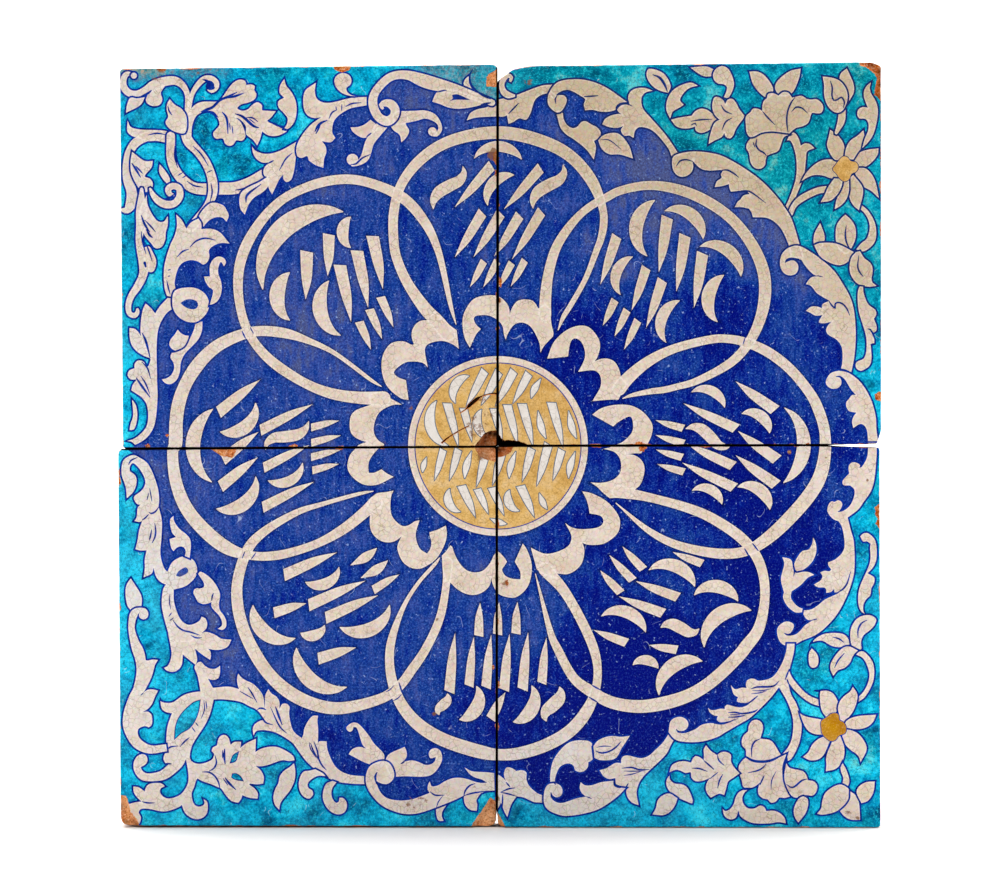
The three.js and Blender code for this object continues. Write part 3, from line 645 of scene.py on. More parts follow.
slip((160, 260), shape([(-21.2, 0), (-16, 1.4)], [(-4.8, 3.2), (-2.4, 6.4), (2.4, 8.8), (7.2, 8),
     (11.2, 5.2)], [(18.4, 0.4), (14.4, -1.6), (12, -5.6), (8, -8.8), (2.4, -10.4), (-1.6, -8.4)],
     [(-2, -5.2), (-6.4, -6.6), (-12, -6.8), (-17.2, -5)]))
draw((160, 260), 1.4, [(-5.6, -1.2), (2.4, 0), (11.2, 0.4)], [(-5.6, -4.4), (-2, -2.8), (-0.8, -4.8)])
slip((160, 300), shape([(-5.6, 1.6), (7.2, 2.4)], [(12.8, 0)], [(11.6, -5.2), (5.6, -5.4), (0, -2.8)]))
slip((180, 290), shape([(4.4, -12.8)], [(0.8, -12), (2.8, -7.6), (3.2, -3.6), (0.4, -1.6), (-4, -1),
     (-6.8, 1.6), (-7.8, 6), (-5.6, 10.4), (-0.8, 12.8), (4, 10.8), (8.8, -0.4), (7.6, -6.8)]))
slip((180, 260), shape([(1.8, 12.4), (4, 16), (7.2, 16.8), (10.4, 13.6), (12.8, 8.8)], [(17.6, 2.8),
     (10.4, -7.2), (8, -12.8), (5.6, -14.8), (2.4, -13.6)], [(1.2, -10.4), (-0.8, -13.6), (-6.4, -16.4)],
     [(-11.2, -19.2), (-10.4, -13.6), (-6.4, -2.4)], [(-2.4, 0), (-6.4, 4), (-8.4, 10.4), (-6.4, 18),
     (-2.4, 17.6), (0.8, 14.8)]))
draw((180, 260), 1.4, [(-1.6, 12), (1.6, 7.2), (7.6, 4.4)], [(7.6, 1.6), (2.4, -1.6), (-0.8, -8.4)])

# A full flower and its stem, its petals laid over each other from the back to the front, with the brush
# pressed harder in the folds.
slip((240, 220), shape([(-8.8, 23.6), (-6.4, 23.6), (-2, 12.8), (-1.6, -5.6), (-7.6, -24)],
     [(-10.8, -30.4)], [(-5.6, -37.6), (-4.4, -28.8)], [(3.6, -8), (5.2, -0.8), (6.2, 8.8), (7.2, 14.8)],
     [(12.8, 17.4), (9.6, 20.4), (5.6, 21.2)], [(2, 19.2), (0.8, 24), (-2.4, 29.2)], [(-5.6, 30.4)]))
slip((210, 290), shape([(-8.8, 8.4), (-2.8, 8.4), (2.8, 5.6), (10, -5.2), (8.4, -10.8), (4.4, -12),
     (-5.2, -2.8)]))
slip((230, 290), shape([(12, 10.8), (10.8, 3.6), (5.2, -8.4), (-0.4, -10.8), (-6, -9.2), (-8.4, -4.4),
     (-6.8, 0.4), (3.6, 8.8)]))
slip((220, 240), shape([(12.8, 8), (8.8, 6.4), (4, -4.8), (-0.8, -6.8)], [(-4.8, -8.4), (-6, -12),
     (-6.4, -16), (-9.6, -18.8), (-14.4, -18.4), (-17.6, -14.4), (-19.2, -6.4), (-21.2, -2.4), (-20, 2.4),
     (-11.2, 9.2), (6.4, 9.6)]))
draw((210, 240), 1, [(-6, 2.4), (-4.4, -2)])
draw((210, 240), 1.4, [(-2.8, 4.8), (-3.6, 0), (-1.2, -4), (2.8, -6.4), (4.8, -8.8)])
slip((230, 260), shape([(-18.4, 6.8), (-18.4, 11.2), (-17.2, 15.2)], [(-14.8, 17.2), (-14, 20.4),
     (-10, 21.2)], [(-5.6, 19.2), (-2, 22), (2, 21.6)], [(5.2, 17.6), (13.2, 19), (16.4, 16.8), (20.4, 16),
     (24.4, 16.4), (28.4, 13.6), (30, 9.6), (28.4, 5.6), (24.4, 5.2), (21.2, 5.6), (18, -2.4), (13.2, -5.2),
     (8.4, -6.4)], [(5.2, -8.8)], [(3.2, -10.8), (-11.6, -9.2), (-19.6, -10.4), (-25.2, -13.2),
     (-28.4, -13.6), (-30.8, -10.4), (-31.6, -4), (-31.6, 2.4), (-27.6, 6.4), (-26, 8.8), (-22, 8.8)]))
draw((230, 260), 1.4, [(2, -10), (1, -2.4), (1.6, 6.4), (4.4, 13.6), (7.6, 18)], [(4.8, 6.4), (8.4, 10),
     (12.8, 9.4), (17.6, 5.2)], [(-18.4, 6.8), (-14.8, 2.4), (-8.4, -4)])

# An open flower of seven petals. Its middle is ochre, laid on last inside a thin outline.
slip((270, 180), shape([(16.4, -23.2), (20.4, -18.4), (24.4, -15.2), (26.8, -8.8), (26.8, -2.4),
     (23.6, 4.8)], [(18.8, 9.6), (18.8, 12.4), (25.2, 8), (31.6, -4), (30.8, -17.6), (22, -24.8)]),
     stroke([(-36.4, 4.8, 4), (-33.2, 11.6), (-28.4, 16.4, 5), (-14, 23.6), (-5.2, 24.8)]))
slip((260, 220), shape([(-17.2, -8.8), (-13.2, -2), (-7.2, 4), (-0.8, 7.6), (5.6, 8.4)], [(12, 6.8),
     (8.8, 0.8)], [(12.8, -6), (6.4, -6.6), (0, -4.4), (-7.2, -4), (-12.8, -6)]))
slip((270, 240), shape([(-4.4, 12), (0, 8.8), (3.6, 5.2), (6.4, 0)], [(7.2, -8.8), (0, -12),
     (-6.8, -0.8), (-5.6, 6.4)]))
slip((290, 230), shape([(14, 7.2), (13.2, 2), (6, -6), (0.4, -8)], [(-2, -6)], [(-6, -2), (-2, 3.2),
     (5.2, 6)]))
slip((280, 240), shape([(12, 11.6), (12.8, 5.6), (10.8, -1.6), (7.2, -6.4)], [(4, -11.6), (0.8, -11.2)],
     [(-2.8, -8.8), (-1.6, -2.4), (1.6, 3.2), (7.2, 7.2)]))
slip((300, 210), shape([(-12.8, 11.6), (-6.4, 11.2), (-1.6, 6.8), (1.6, 0.4)], [(4.4, -12.4), (-1.6, -6.8),
     (-8.8, -2.4)], [(-14.4, 6.8)]))
slip((290, 200), shape([(-6, 16), (1.2, 6.4), (1.6, 0.8)], [(-1.6, -12), (-6, -8), (-8.8, -2.4)],
     [(-9.6, 12.8)]))
slip((270, 200), shape([(5.2, 12)], [(10.4, 12), (10.4, 3.2), (8.4, -3.2), (4.4, -8)], [(-0.8, -11.2),
     (0.4, -4.8), (2.8, 1.6)]))
slip((270, 200), shape([(-1.2, 13.2)], [(5.6, 12.8), (4.4, 6.4), (0.8, 0), (-4.4, -4.4)], [(-12, -5.6),
     (-8.8, 0), (-6, 6.4)]))
paint("ochre", 0.6, (280, 220), loop([(-4, 10.8), (-0.4, 10), (1.6, 7.2), (6.4, 6), (8, 2.4), (6.4, -1.2),
      (2.4, -3.2), (0.8, -7.2), (-2.8, -9.2), (-6.4, -7.2), (-9.6, -2.8), (-12.4, 0.4), (-10, 4.4)]))

# A closed flower at the top corner: an outer petal, a rounded cup, and the fold drawn inside it.
slip((270, 260), stroke([(5.2, 7.2, 5.5), (4.4, -0.8), (0.4, -10.4, 2.4)]))
slip((280, 290), shape([(-1.2, 10.8), (4, -1.2), (4.4, -7.6)], [(-1.2, -18), (-0.8, -9.2), (-3.2, -2),
     (-6.8, 2), (-6, 6.8)]))
slip((270, 280), shape([(-10.4, 14.4), (-3.6, 13.6), (2.8, 11.2), (7.6, 5.6), (9.4, -0.8), (8.4, -7.2),
     (5.2, -12.8), (1.6, -14.4), (-2.8, -12.8), (-6.8, -8), (-9.2, 0), (-9.2, 7.2)]))
draw((270, 280), 1.4, [(-4.4, 11.2), (-2.8, 5.6), (-3, -0.8), (-1.6, -4.4), (1.2, -4), (4.4, -2),
     (6.8, -5.6), (6, -10.8)])

# The slender leaves on the right edge, whose tips have gone with the broken corner or touch the side.
slip((300, 260), shape([(-2, 29.8), (-2.9, 25.6), (-2, 21.2), (0.6, 17), (2.8, 12), (3.5, 5), (0, -11.2),
     (-4, -17.6)], [(-8.8, -22.4), (-6.8, -15.2), (-4, -8), (-4, -2.4), (-6.4, 0.8), (-11.2, 1.2),
     (-12.8, 4), (-12, 8), (-8.8, 10)], [(-4.4, 9.6), (-6.4, 14.8), (-7.6, 19.2), (-7.4, 23),
     (-5.2, 27)]))
slip((260, 170), shape([(-2.4, 7.6), (1.2, -3.6), (0, -9.2), (-2.4, -13.2)], [(-3.6, -16.4), (-6.4, -12.4),
     (-7.6, -6.8), (-6.8, -0.4)]))
slip((280, 170), shape([(-2.4, 14.4), (1.6, 10.8), (5.2, 5.2), (6, -2), (4.4, -8.4), (-1.6, -16.4),
     (-8.8, -10), (-9.6, 4.4), (-6.8, 10)]))
draw((280, 170), 1.4, [(-1.6, 6), (-2.4, -1.2), (-1.2, -8.4), (2.4, -14.8)])

# The scroll between the turquoise and the cobalt. It crosses the edge between them, and its veins follow
# its bends.
slip((190, 190), shape([(54, -39.6)], [(44.4, -39.6), (43.6, -33.2), (37.2, -18), (31.6, -11.6),
     (25.2, -8.2)], [(14, -7.6), (12.8, -3.6)], [(10.8, -0.8), (5.2, 0.4)], [(-0.4, 0.4), (2, 4.8),
     (4, 6.4), (6.4, 9.6)], [(11.6, 10.8), (8.4, 13.4)], [(-3.6, 12.8), (-4.8, 16)], [(-5, 18.8),
     (-10.8, 17.2)], [(-16.4, 16.4), (-14.8, 20.8), (-10.8, 24), (-11.6, 26.4), (-10, 29.6), (-21.2, 29.6),
     (-27.6, 31.2)], [(-34.4, 37.6), (-33.6, 32.4), (-35.6, 27.6), (-40.4, 24.8), (-45.2, 25.2),
     (-49.2, 29.2), (-50.4, 36.4), (-49.2, 40.8), (-35.6, 44.6), (-18, 43.2), (-8.4, 40.2), (18, 23.6),
     (32.4, 9.2), (39.6, -0.4), (44.4, -8.4)]))
draw((180, 210), 1.4, [(-37.2, 12.8), (-34, 17.2), (-29.2, 18.2), (-24, 16.8)], [(-2.4, 9.4), (3.2, 10),
     (8.8, 7.2), (12.8, 4)], [(14.4, -6.4), (20.8, -7), (34.4, -16.4)])

# The scroll down the lower half of the right edge, as far as the level joint, with curls on both sides.
slip((260, 110), shape([(-30.4, 36), (-29.2, 38.2), (-22.4, 39.6)], [(-19.2, 39), (-17.4, 38.4),
     (-15, 34.6), (-7.4, 26.6)], [(-1.6, 25.2), (-8.6, 24.7), (-11.2, 22.8)], [(-13.7, 19), (-10.6, 18.2),
     (-8, 15.8), (-5.4, 12.2)], [(5.2, 5.6), (-0.6, 3)], [(-1, -0.2), (-5.4, 1.2), (-9.6, 1)],
     [(-13.7, -2.2), (-9.6, -4.2), (-6.4, -6)], [(-0.6, -5.7), (-3.4, -11.4), (0, -12.2)], [(6.4, -11),
     (3.8, -14), (2.4, -17.2), (3.2, -20.4), (10.6, -25.2), (13.8, -29), (15.2, -33.2), (15.2, -43.8)],
     [(13.6, -50)], [(22.4, -50.8), (24.8, -38.6), (25.8, -17.2), (23, 4.2), (15, 20.2), (5.8, 32.4),
     (-19.2, 49.4), (-25.6, 48.8), (-30.4, 46), (-33.4, 41.6), (-34.4, 35), (-33, 30.2), (-30.4, 27.2),
     (-26.2, 26), (-21.8, 27.4), (-20, 30.8), (-20.2, 34.6), (-22.4, 37.2), (-25, 38)]))
draw((260, 130), 1, [(-4.8, 5.8), (-0.4, 4.8)])
draw((260, 130), 1.4, [(-30.4, 16), (-29.2, 18.2), (-25.6, 19.6), (-19.2, 19)], [(4.4, -14), (6.4, -17.4),
     (9.6, -20.2), (9.4, -17.2), (11.2, -15.6), (15, -16.4), (18.6, -20.2), (21.2, -26)])
slip((270, 150), shape([(-17.2, 10), (-11.6, 0.4), (2.8, -5.8), (10.8, -2.2)], [(15.6, 4), (0.4, 11.2),
     (-13.2, 11.6)]))
slip((290, 140), shape([(-4, 14.4), (-7.6, 9.8), (-8.6, -1.4), (-2.8, -10.4), (6.8, -13)], [(12.4, -12.2),
     (9.2, -9.6), (8.4, -6.6), (9.2, -2.4), (9, 3), (6.8, 6.6), (3, 9.4)], [(-0.8, 15.2)]))
draw((290, 140), 1.4, [(-1.6, 12), (-2.4, 2.4), (-0.8, -1.6), (2, -5.2)])
slip((290, 90), shape([(-0.8, 37.2), (-2.2, 33.8), (-1.8, 18.8), (4.3, -3.6), (4, -16.4), (2, -20.6),
     (-2.8, -22.8), (-4.2, -25), (-3.4, -28.2), (-0.2, -30), (6.8, -26), (8.4, -20.6)], [(7.8, -9)],
     [(10.6, -8.2), (10.6, -5.2), (8, 1.6)], [(10, 0.4), (12.2, 1.8), (12.6, 5)], [(10.3, 11.4),
     (12.2, 14.6), (11.6, 18.2), (5.8, 23), (2, 32.6)], [(1.8, 36.8)]))
draw((300, 90), 1.4, [(-4.8, 3.4), (-2.4, 2.8), (-0.4, 0), (2, 0.8)], [(-2.4, -9.2), (0.8, -8.4)])
slip((280, 30), shape([(-6, 30.4), (-14.2, 27.8), (-18, 20.6), (-16.2, 17.4), (-12.6, 15.6), (-8.2, 16.4),
     (-5.6, 19.6), (-6, 23.4), (-7.8, 25)], [(-10, 25.2), (-6.8, 25.5), (-3.4, 23.8), (2.4, 14.8)],
     [(6.2, 10.6), (3, 10.6), (0.8, 7.8), (-1.8, 4.2), (0.2, -1.8)], [(6.4, -3.4), (4, -7), (3, -10.8)],
     [(4, -15.6), (9.4, -12.4), (12, -13), (14.6, -16.6)], [(16, -30)], [(24.4, -30), (22.4, -17.2),
     (21.8, -6.6), (17.4, 8.4), (8.8, 21.8), (-1.6, 29.2)]))
draw((280, 60), 1.4, [(-10, -4.8), (-6.8, -4.6), (-3.6, -6.4)], [(-7.2, 0.2), (-1.6, -0.4), (3.2, -2.8)])

# Lower left tile: its two grounds. The edge of the cobalt steps up and down behind the scrolls, as the
# painter filled in between them.
paint("turquoise", 0, (-150, -150), shape([(-152.4, 147.6)], [(150, 150)], [(150, -154)], [(-150.8, -154)]))
paint("cobalt", 0, (-150, -140), shape([(-145.2, 137.6)], [(150, 140)], [(150, -131.2), (128.4, -130.4),
      (96.4, -145.6), (76.4, -149.6), (60.4, -147.2), (50, -136.8)], [(43.6, -126.4), (28.4, -125.6),
      (10, -117.6), (-2.8, -104.8), (-10, -93.6), (-19.6, -87.2), (-33.2, -75.2), (-43.6, -64.8),
      (-59.6, -59.2)], [(-77.2, -56.8), (-81.2, -51.2), (-85.2, -39.2)], [(-89.2, -28.8), (-103.6, -19.2),
      (-111.6, -3.2), (-113.2, 16.8), (-114.8, 34.4), (-119.6, 48.8), (-119.6, 64.8), (-121.2, 96.8),
      (-134, 128.8)]))

# The leaves of the lower left tile, from its left edge to the foot of the rosette: bare slip, cut out of
# the ground by dark outlines with many small teeth.
slip((-200, -150), shape([(-86, 141.4), (-78.6, 136.2), (-70.6, 117.4), (-69.3, 106.8)], [(-69.8, 102),
     (-67.2, 90.8), (-67.4, 78), (-68.2, 63), (-64.8, 51.8)], [(-62.6, 49.8), (-58.4, 57.8), (-49.4, 62),
     (-41.8, 58.8), (-39, 51.4), (-40.2, 46), (-47.8, 38.6)], [(-57.7, 35.6), (-57.4, 25.8), (-53, 13),
     (-48.8, 8.6), (-44.6, 7.4), (-37, 10.8)], [(-35.4, 14), (-32.2, 12.4), (-31, 8.6), (-31.8, 4.4),
     (-34.4, 1.8)], [(-36.8, -1.2)], [(-45.6, -6)], [(-60, -6), (-66, 16.2), (-67.2, 24.6), (-65.8, 36.4)],
     [(-63.8, 39.6), (-67.4, 41.2), (-71.2, 45)], [(-73.8, 53), (-75, 48.6)], [(-81.6, 45.4), (-80.6, 53.4),
     (-80.8, 58.8)], [(-79.2, 66.8), (-84.6, 66.8)], [(-88.2, 67.8), (-86.6, 73.8), (-85, 83.4)],
     [(-82.7, 90.2), (-85, 89.5)], [(-89, 90.2), (-87.2, 93), (-86.2, 101)], [(-84, 103.3), (-86.6, 103.6),
     (-89.4, 109), (-84, 113.8), (-81.4, 117), (-80.2, 121.8), (-84.6, 131.4), (-90.4, 136.4),
     (-92.8, 133)], [(-92.6, 129.8), (-88.8, 127), (-87.2, 122.8), (-89.4, 114.2)], [(-95, 108.4),
     (-95.8, 117), (-99.2, 128.2), (-97.4, 138.8), (-89.8, 142.8)]), shape([(-62, 0.4), (-59.4, -17.2),
     (-62.6, -25.5)], [(-65.4, -26.8), (-63.2, -29), (-58.4, -30), (-54.2, -28.4), (-51.4, -24.6)],
     [(-50.4, -16.2)], [(-40.2, -24.4), (-39, -20.4)], [(-40.8, -11.4), (-35, -16.2)], [(-28.6, -20.4),
     (-28, -17.2), (-28.6, -13.4)], [(-30.6, -11.4), (-25.4, -12.4), (-20, -12.2), (-14.6, -9.8)],
     [(-11.7, -4.4), (-20, -3.4), (-24.8, -0.4), (-32.8, 1.8)], [(-36.8, -0.4), (-53.6, 4.8),
     (-58.4, 10.8)]), shape([(-38.6, -22.6), (-41, -26), (-38.6, -33.2)], [(-36.2, -45.6), (-43.4, -46.6),
     (-49.8, -48.6), (-59.4, -54.6), (-68, -53.4)], [(-68.6, -49.8), (-67, -59.4), (-63.8, -62)],
     [(-59, -63), (-62.6, -73.8), (-63.5, -86.6)], [(-62.6, -92.4), (-64.8, -95.6), (-65.8, -99.4),
     (-64.2, -102.6)], [(-61.6, -103.8), (-69, -109.4), (-79.8, -110.8), (-83, -108.4)], [(-84, -105.8),
     (-80.8, -104.2), (-78.6, -101), (-79.8, -96.6), (-83, -95.6), (-86.6, -97.2), (-89.4, -102),
     (-89.4, -107.8), (-86.6, -113.2), (-82.4, -116.4), (-69, -116.7), (-62.6, -114.8), (-51, -105.2)],
     [(-47.8, -99.4), (-45.8, -113.2), (-46.6, -119.6), (-52, -127.6), (-61.6, -131), (-66.4, -129.2),
     (-68.6, -126), (-68, -122.8)], [(-64.8, -121.2), (-67.4, -119), (-77, -119.4), (-79.8, -122.2)],
     [(-80.6, -125.4), (-86.2, -121.8)], [(-89.8, -121.5), (-89.4, -126), (-86.6, -130.2)],
     [(-83.2, -133.4), (-88.2, -134)], [(-94, -135.6), (-96, -139), (-93, -147)],
     [(-89, -152), (-85.5, -151.5), (-83.8, -146), (-85.6, -142), (-84, -139.4),
     (-78.6, -139), (-64.8, -141.2), (-52.6, -137.2)],
     [(-51.2, -136), (-48.8, -142), (-44.6, -145.8), (-39.2, -147.4), (-33.8, -145.8), (-31, -142),
     (-31.2, -133.4)], [(-33.8, -131.6), (-33, -134.6), (-34.4, -136.6), (-37.6, -137.5), (-41.4, -135.6),
     (-43.4, -127), (-41.4, -121.8), (-39.8, -116.4)], [(-38.8, -114.8), (-35, -117), (-27.4, -119.6)],
     [(-22.6, -121.8), (-20, -122.8), (-15.8, -128.6), (-11.4, -133)], [(-6.2, -134.3), (-4, -131.4)],
     [(-3, -128.2), (2.4, -130.2)], [(9, -131), (9.4, -127), (6.6, -122.8), (2.4, -119.6)], [(3.2, -119),
     (8.8, -119.6)], [(13.6, -119), (14.2, -114.2), (12, -109)], [(7.8, -105), (12, -105.2), (17.4, -104.2),
     (29, -100.4), (34.4, -101)], [(38.6, -100.4), (37.6, -97.2), (25.8, -90.2), (18.4, -89.8),
     (11, -91.8)], [(7.4, -94)], [(7.8, -83.4), (0.2, -87)], [(-4.6, -90.8)], [(-4, -85.8), (-9.4, -86)],
     [(-12.3, -88.2), (-14.6, -81.8), (-17.8, -80.2), (-21, -81.8), (-22.6, -85.4), (-23.2, -88.6),
     (-26.4, -90.2)], [(-27.4, -93)], [(-25.2, -95.6), (-27, -99.8), (-37, -103.4), (-42.4, -102),
     (-44.6, -99.4), (-43.4, -89.8), (-31.8, -70.6), (-28.6, -63)], [(-25.8, -52), (-19, -51.8), (-4, -54),
     (2.4, -57.2), (8.8, -60.4)], [(16.2, -70), (13, -68.6), (6.6, -72.2), (5.4, -75.8)], [(6, -80.6),
     (7.8, -77.4), (12, -76.4), (22.6, -78), (33.4, -83.8)], [(37.6, -87), (50.4, -103.6), (69.6, -116.4),
     (83.4, -119)], [(94.8, -119.4)], [(94.8, -113.2), (83.4, -112.2), (76, -109.4), (70.6, -104.6),
     (64.8, -91.8)], [(64.2, -85.4), (58.4, -85.4)], [(57.2, -86.4), (57.4, -74.8), (56.8, -69.4)],
     [(57.4, -65), (53, -65.2), (46.6, -74.8), (45.6, -80.4)], [(44.4, -82.8)], [(39.8, -79.6), (37, -75.8),
     (34.2, -63), (34.6, -57.8), (32.2, -55.4), (29, -55.6)], [(26.6, -59.6), (26.4, -53.4), (24.2, -49.8),
     (20, -47)], [(17.8, -43.8), (15.2, -49.2), (15.2, -54.6)], [(15, -59.4), (13, -48.2), (5.6, -39.6),
     (0.2, -37), (-4, -34.2)], [(-6.2, -31.3), (-7, -34.2), (-7, -38.6)], [(-5.6, -43.8), (-13.6, -41.8)],
     [(-26.4, -42.8)], [(-30.4, -35.4), (-26.4, -36.4), (-22.2, -35), (-20.8, -31)], [(-20.8, -25.2),
     (-24.2, -27.4), (-28.6, -27.4), (-32.8, -25.2), (-36, -22)]))
paint("turquoise", 0.8, (-250, -220), shape([(13, 17), (8.6, 15.4), (0.2, 8), (-3.6, 2.6), (-5.8, -3.8)],
      [(-6.6, -12.8), (-2, -8.6), (4.4, -4.8), (8.6, 0.6), (11.8, 9)]))
paint("turquoise", 0.8, (-210, -250), shape([(3.4, 5.4), (0.2, 3.4)], [(-2, -2), (1.2, -1)]))
paint("turquoise", 0.8, (-210, -260), shape([(-0.4, -1.6), (-1, -3.8), (1.8, -5.4)], [(7, -6.4),
      (5.4, -3.8), (2.2, -1.6)]))
draw((-210, -230), 1, [(-75.2, 24), (-77.6, 20)], [(-23.6, 27.6), (-23.2, 19.6), (-26, 12.4)],
     [(-30.4, 9.6), (-28, 6.8)], [(-33.2, 6), (-30.4, 2)], [(-22, 26.8), (-21.2, 20.4)], [(-8.6, -12.4),
     (-8.8, -18.8)], [(-8.4, -34.8), (-4.4, -40.4)], [(5, 34.6), (15.6, 28.6)], [(60.4, -6), (61.2, -10.8),
     (66, -18.8)])
draw((-210, -230), 1.4, [(-70.8, 53.8), (-70.2, 57), (-62.8, 59.8), (-58.4, 59.4)], [(-80.2, 7.4),
     (-80.4, 12.6), (-78.8, 18), (-75, 21.8)], [(-73, 27.6), (-76.6, 25), (-78.8, 21.2)], [(-58, 26.6),
     (-58.6, 30)], [(-52.8, -12.8), (-51, -10.2), (-44.2, -9)], [(-42.8, -9.8), (-38.8, -5.4), (-35, -2.2)],
     [(-54, -23), (-49.2, -23.4)], [(-73, -53.4), (-68.6, -54.4), (-62.8, -54.4)], [(-25, -29.8),
     (-19.6, -30), (-15.4, -32.6), (-12.2, -37.4), (-10.6, -43.8)], [(-14.8, -16.4), (-13.6, -22.4),
     (-15.6, -26.8), (-19.6, -29.2)], [(11.4, 37.8), (14.6, 33), (18.8, 25.4)], [(18.8, 19.6), (21, 21),
     (24.2, 20.6), (26, 19.6)], [(22.4, 14.8), (25.2, 10), (31.6, 7.6)], [(29.4, 22), (37.2, 6),
     (42.4, 1.2)], [(61.4, -6.6), (63.6, -13), (68.4, -21)], [(64, -5.4), (66.8, -13), (68, -19.4),
     (70.6, -24.6), (74.2, -28.4)])
draw((-210, -230), 2, [(-7, -11.2), (-7.4, -17.2), (-6.6, -23.6)], [(-6.8, -34.2), (-3.6, -38.6),
     (2, -44)], [(33.4, 22.4), (35.8, 15.6), (38.8, 7.6)])
slip((-170, -270), shape([(8.2, 17), (9.2, 11), (8.6, 3.6), (5.4, -3.8), (-2.6, -14.6)], [(-3.6, -19.8),
     (-6.8, -16.2), (-8.2, -10.2), (-6.8, -3.8), (-4.2, 1.4), (-3, 6.8), (0.2, 11), (4.4, 13.8)]))
slip((-150, -270), shape([(5.2, 12.4), (0.4, 11.2), (-3.8, 10.6), (-6.6, 6.8), (-8, 0.4), (-6.6, -6),
     (-3.4, -9.8), (0.4, -11), (3.4, -7.6), (2.6, -4.4), (0.4, -3.2), (-1, -1.2), (-0.4, 2), (6.8, 7)],
     [(13.2, 7), (11.6, 8.8)]))
slip((-130, -280), shape([(-1, 13), (-5.8, 11), (-8.4, 5), (-8.6, -1.4), (-5.8, -7.8), (-1.4, -12),
     (3.8, -13.6), (8.2, -12), (10.2, -8.2), (9.8, -3.4), (7, -0.5)], [(4.4, -0.5), (4, -3.4), (2.2, -4.6),
     (-0.4, -2.4), (-2, 1.8), (-1.4, 7.2)], [(2, 12)]))
slip((-80, -240), shape([(-10.4, -12), (-16.2, -12.8)], [(-20, -14.2), (-25.8, -12)], [(-38.2, -5.6),
     (-35.4, -1.8), (-31.2, 0), (-27, -0.2)], [(-24.2, -1.4), (-27, 1.8), (-32.2, 15.8), (-34.4, 16.2),
     (-35, 13.6), (-37.6, 12.2), (-40.2, 15.2), (-35.4, 19.4), (-31.2, 19), (-22.6, 9.8), (-18.4, 3.4),
     (-10, -6.2)]), shape([(-9.4, -12), (-6.6, -6.2)], [(6.4, 0.2), (8, -4), (7.8, -8.2)], [(3.4, -13),
     (7.2, -11.4), (12.6, -10.6), (17.8, -12), (23.2, -14.2), (27.4, -13.6), (30.6, -11)], [(31.2, -7.8),
     (27, -8.8), (25.6, -5), (27.4, -1.8), (31.2, -0.8), (34.4, -2.4), (36.2, -7.2), (35.4, -12.6),
     (27.4, -22.2), (5, -23.2)], [(-4, -23.8), (-7.2, -17.6)]))
slip((-40, -290), shape([(-3, 11.8), (-6.2, 7.6), (-8.5, 1.2), (-6.6, -8.4)], [(-2.6, -8.7), (-4, -5.2),
     (-3.4, -1)], [(4, 9.2)]))
slip((-50, -270), shape([(-45.4, 10.2), (-47.4, 7.6), (-44.6, -2.8), (-41, -8.2), (-35.6, -11.4),
     (-20.6, -12.2)], [(-3.6, -6.6), (-5.2, -3.8), (-5, -0.2)], [(-3.6, 2.6), (-2, -1.2), (2.8, -0.6),
     (8.2, 2.6), (14.6, 5.2), (21, 5.5), (27.4, 4.2), (31.6, 2.6), (38, 1.4)], [(42.2, 1.7), (38, 4.2),
     (32.6, 5.8), (28.4, 8.4)], [(24.2, 13.8), (29.4, 11), (43.4, 9.8)], [(50.8, 8.8)], [(50.8, -4.4),
     (42.2, -5)], [(37, -6.8), (33.5, -12.4), (34.2, -15.6)], [(33.8, -20.7), (28.4, -19.8), (24.6, -15.6)],
     [(23.4, -8.6), (15.6, -12.4), (-11, -22.2), (-18.6, -23.3), (-27, -22.6), (-42, -16.2), (-52.6, -3.8),
     (-54.6, 3.6), (-53.8, 10), (-50.6, 15.4), (-41, 19), (-35.6, 17), (-32, 9.2), (-32.8, 4.4),
     (-37.8, 0.6), (-45.8, 3), (-47, 6.8)]))
draw((-60, -260), 1, [(17, -18.6), (13.4, -23.4), (11.5, -28.8)], [(-44.8, 19.2), (-47.6, 20.4)])
draw((-60, -260), 1.4, [(42.6, -9), (38.4, -10.6), (34.6, -15), (33.4, -20)], [(6.4, -15.4), (10.6, -18.2),
     (18.2, -18.2)], [(33.4, -18.8), (40, -16.8), (53.6, -14.8)], [(-16.8, 6.8), (-13.6, 8.3)])
draw((-60, -260), 2, [(-35.4, 0.2), (-37, -3.2), (-36, -9.6)])
paint("cobalt", 0, (-250, -100), shape([(-5.8, -3.4), (-4.2, -0.2), (2.2, 3.4), (3.8, 1.8), (3.4, -0.8),
      (-3, -4.2)]))
draw((-260, -80), 1, [(-16.8, 46.4), (-15, 35.8)], [(-17.6, 42.4), (-19, 36.8)], [(-0.6, -37.8),
     (-1, -44.2), (0, -50.2)], [(-1.6, -56), (0.8, -52.8)], [(-0.8, -59.2), (2.4, -56.8)])
draw((-260, -80), 1.4, [(-33.6, 65), (-32, 68.2), (-26.4, 71)], [(-9.6, 31.4), (-12.2, 27.8), (-15.4, 26.2),
     (-17.6, 27.2)], [(-17.6, 25.6), (-20.2, 22.8), (-23, 20.8)], [(-12.8, 18.6), (-12, 12.2), (-12.8, 7),
     (-15, 2.6)], [(-15.2, 13.6), (-16.4, 7.2), (-17.2, 4.8)], [(1.6, -58.6), (5.8, -64.2), (10.2, -67),
     (16, -68.4), (23.2, -70.8)], [(16, -70.8), (20, -72.8), (24.8, -72.8)])
slip((-290, -120), shape([(-1.8, 14.4), (6.6, 0)], [(6.6, -8), (2.2, -8.6)], [(-2, -10.6), (-4.6, -7),
     (-6, 5.4), (-4.6, 10.6)]))
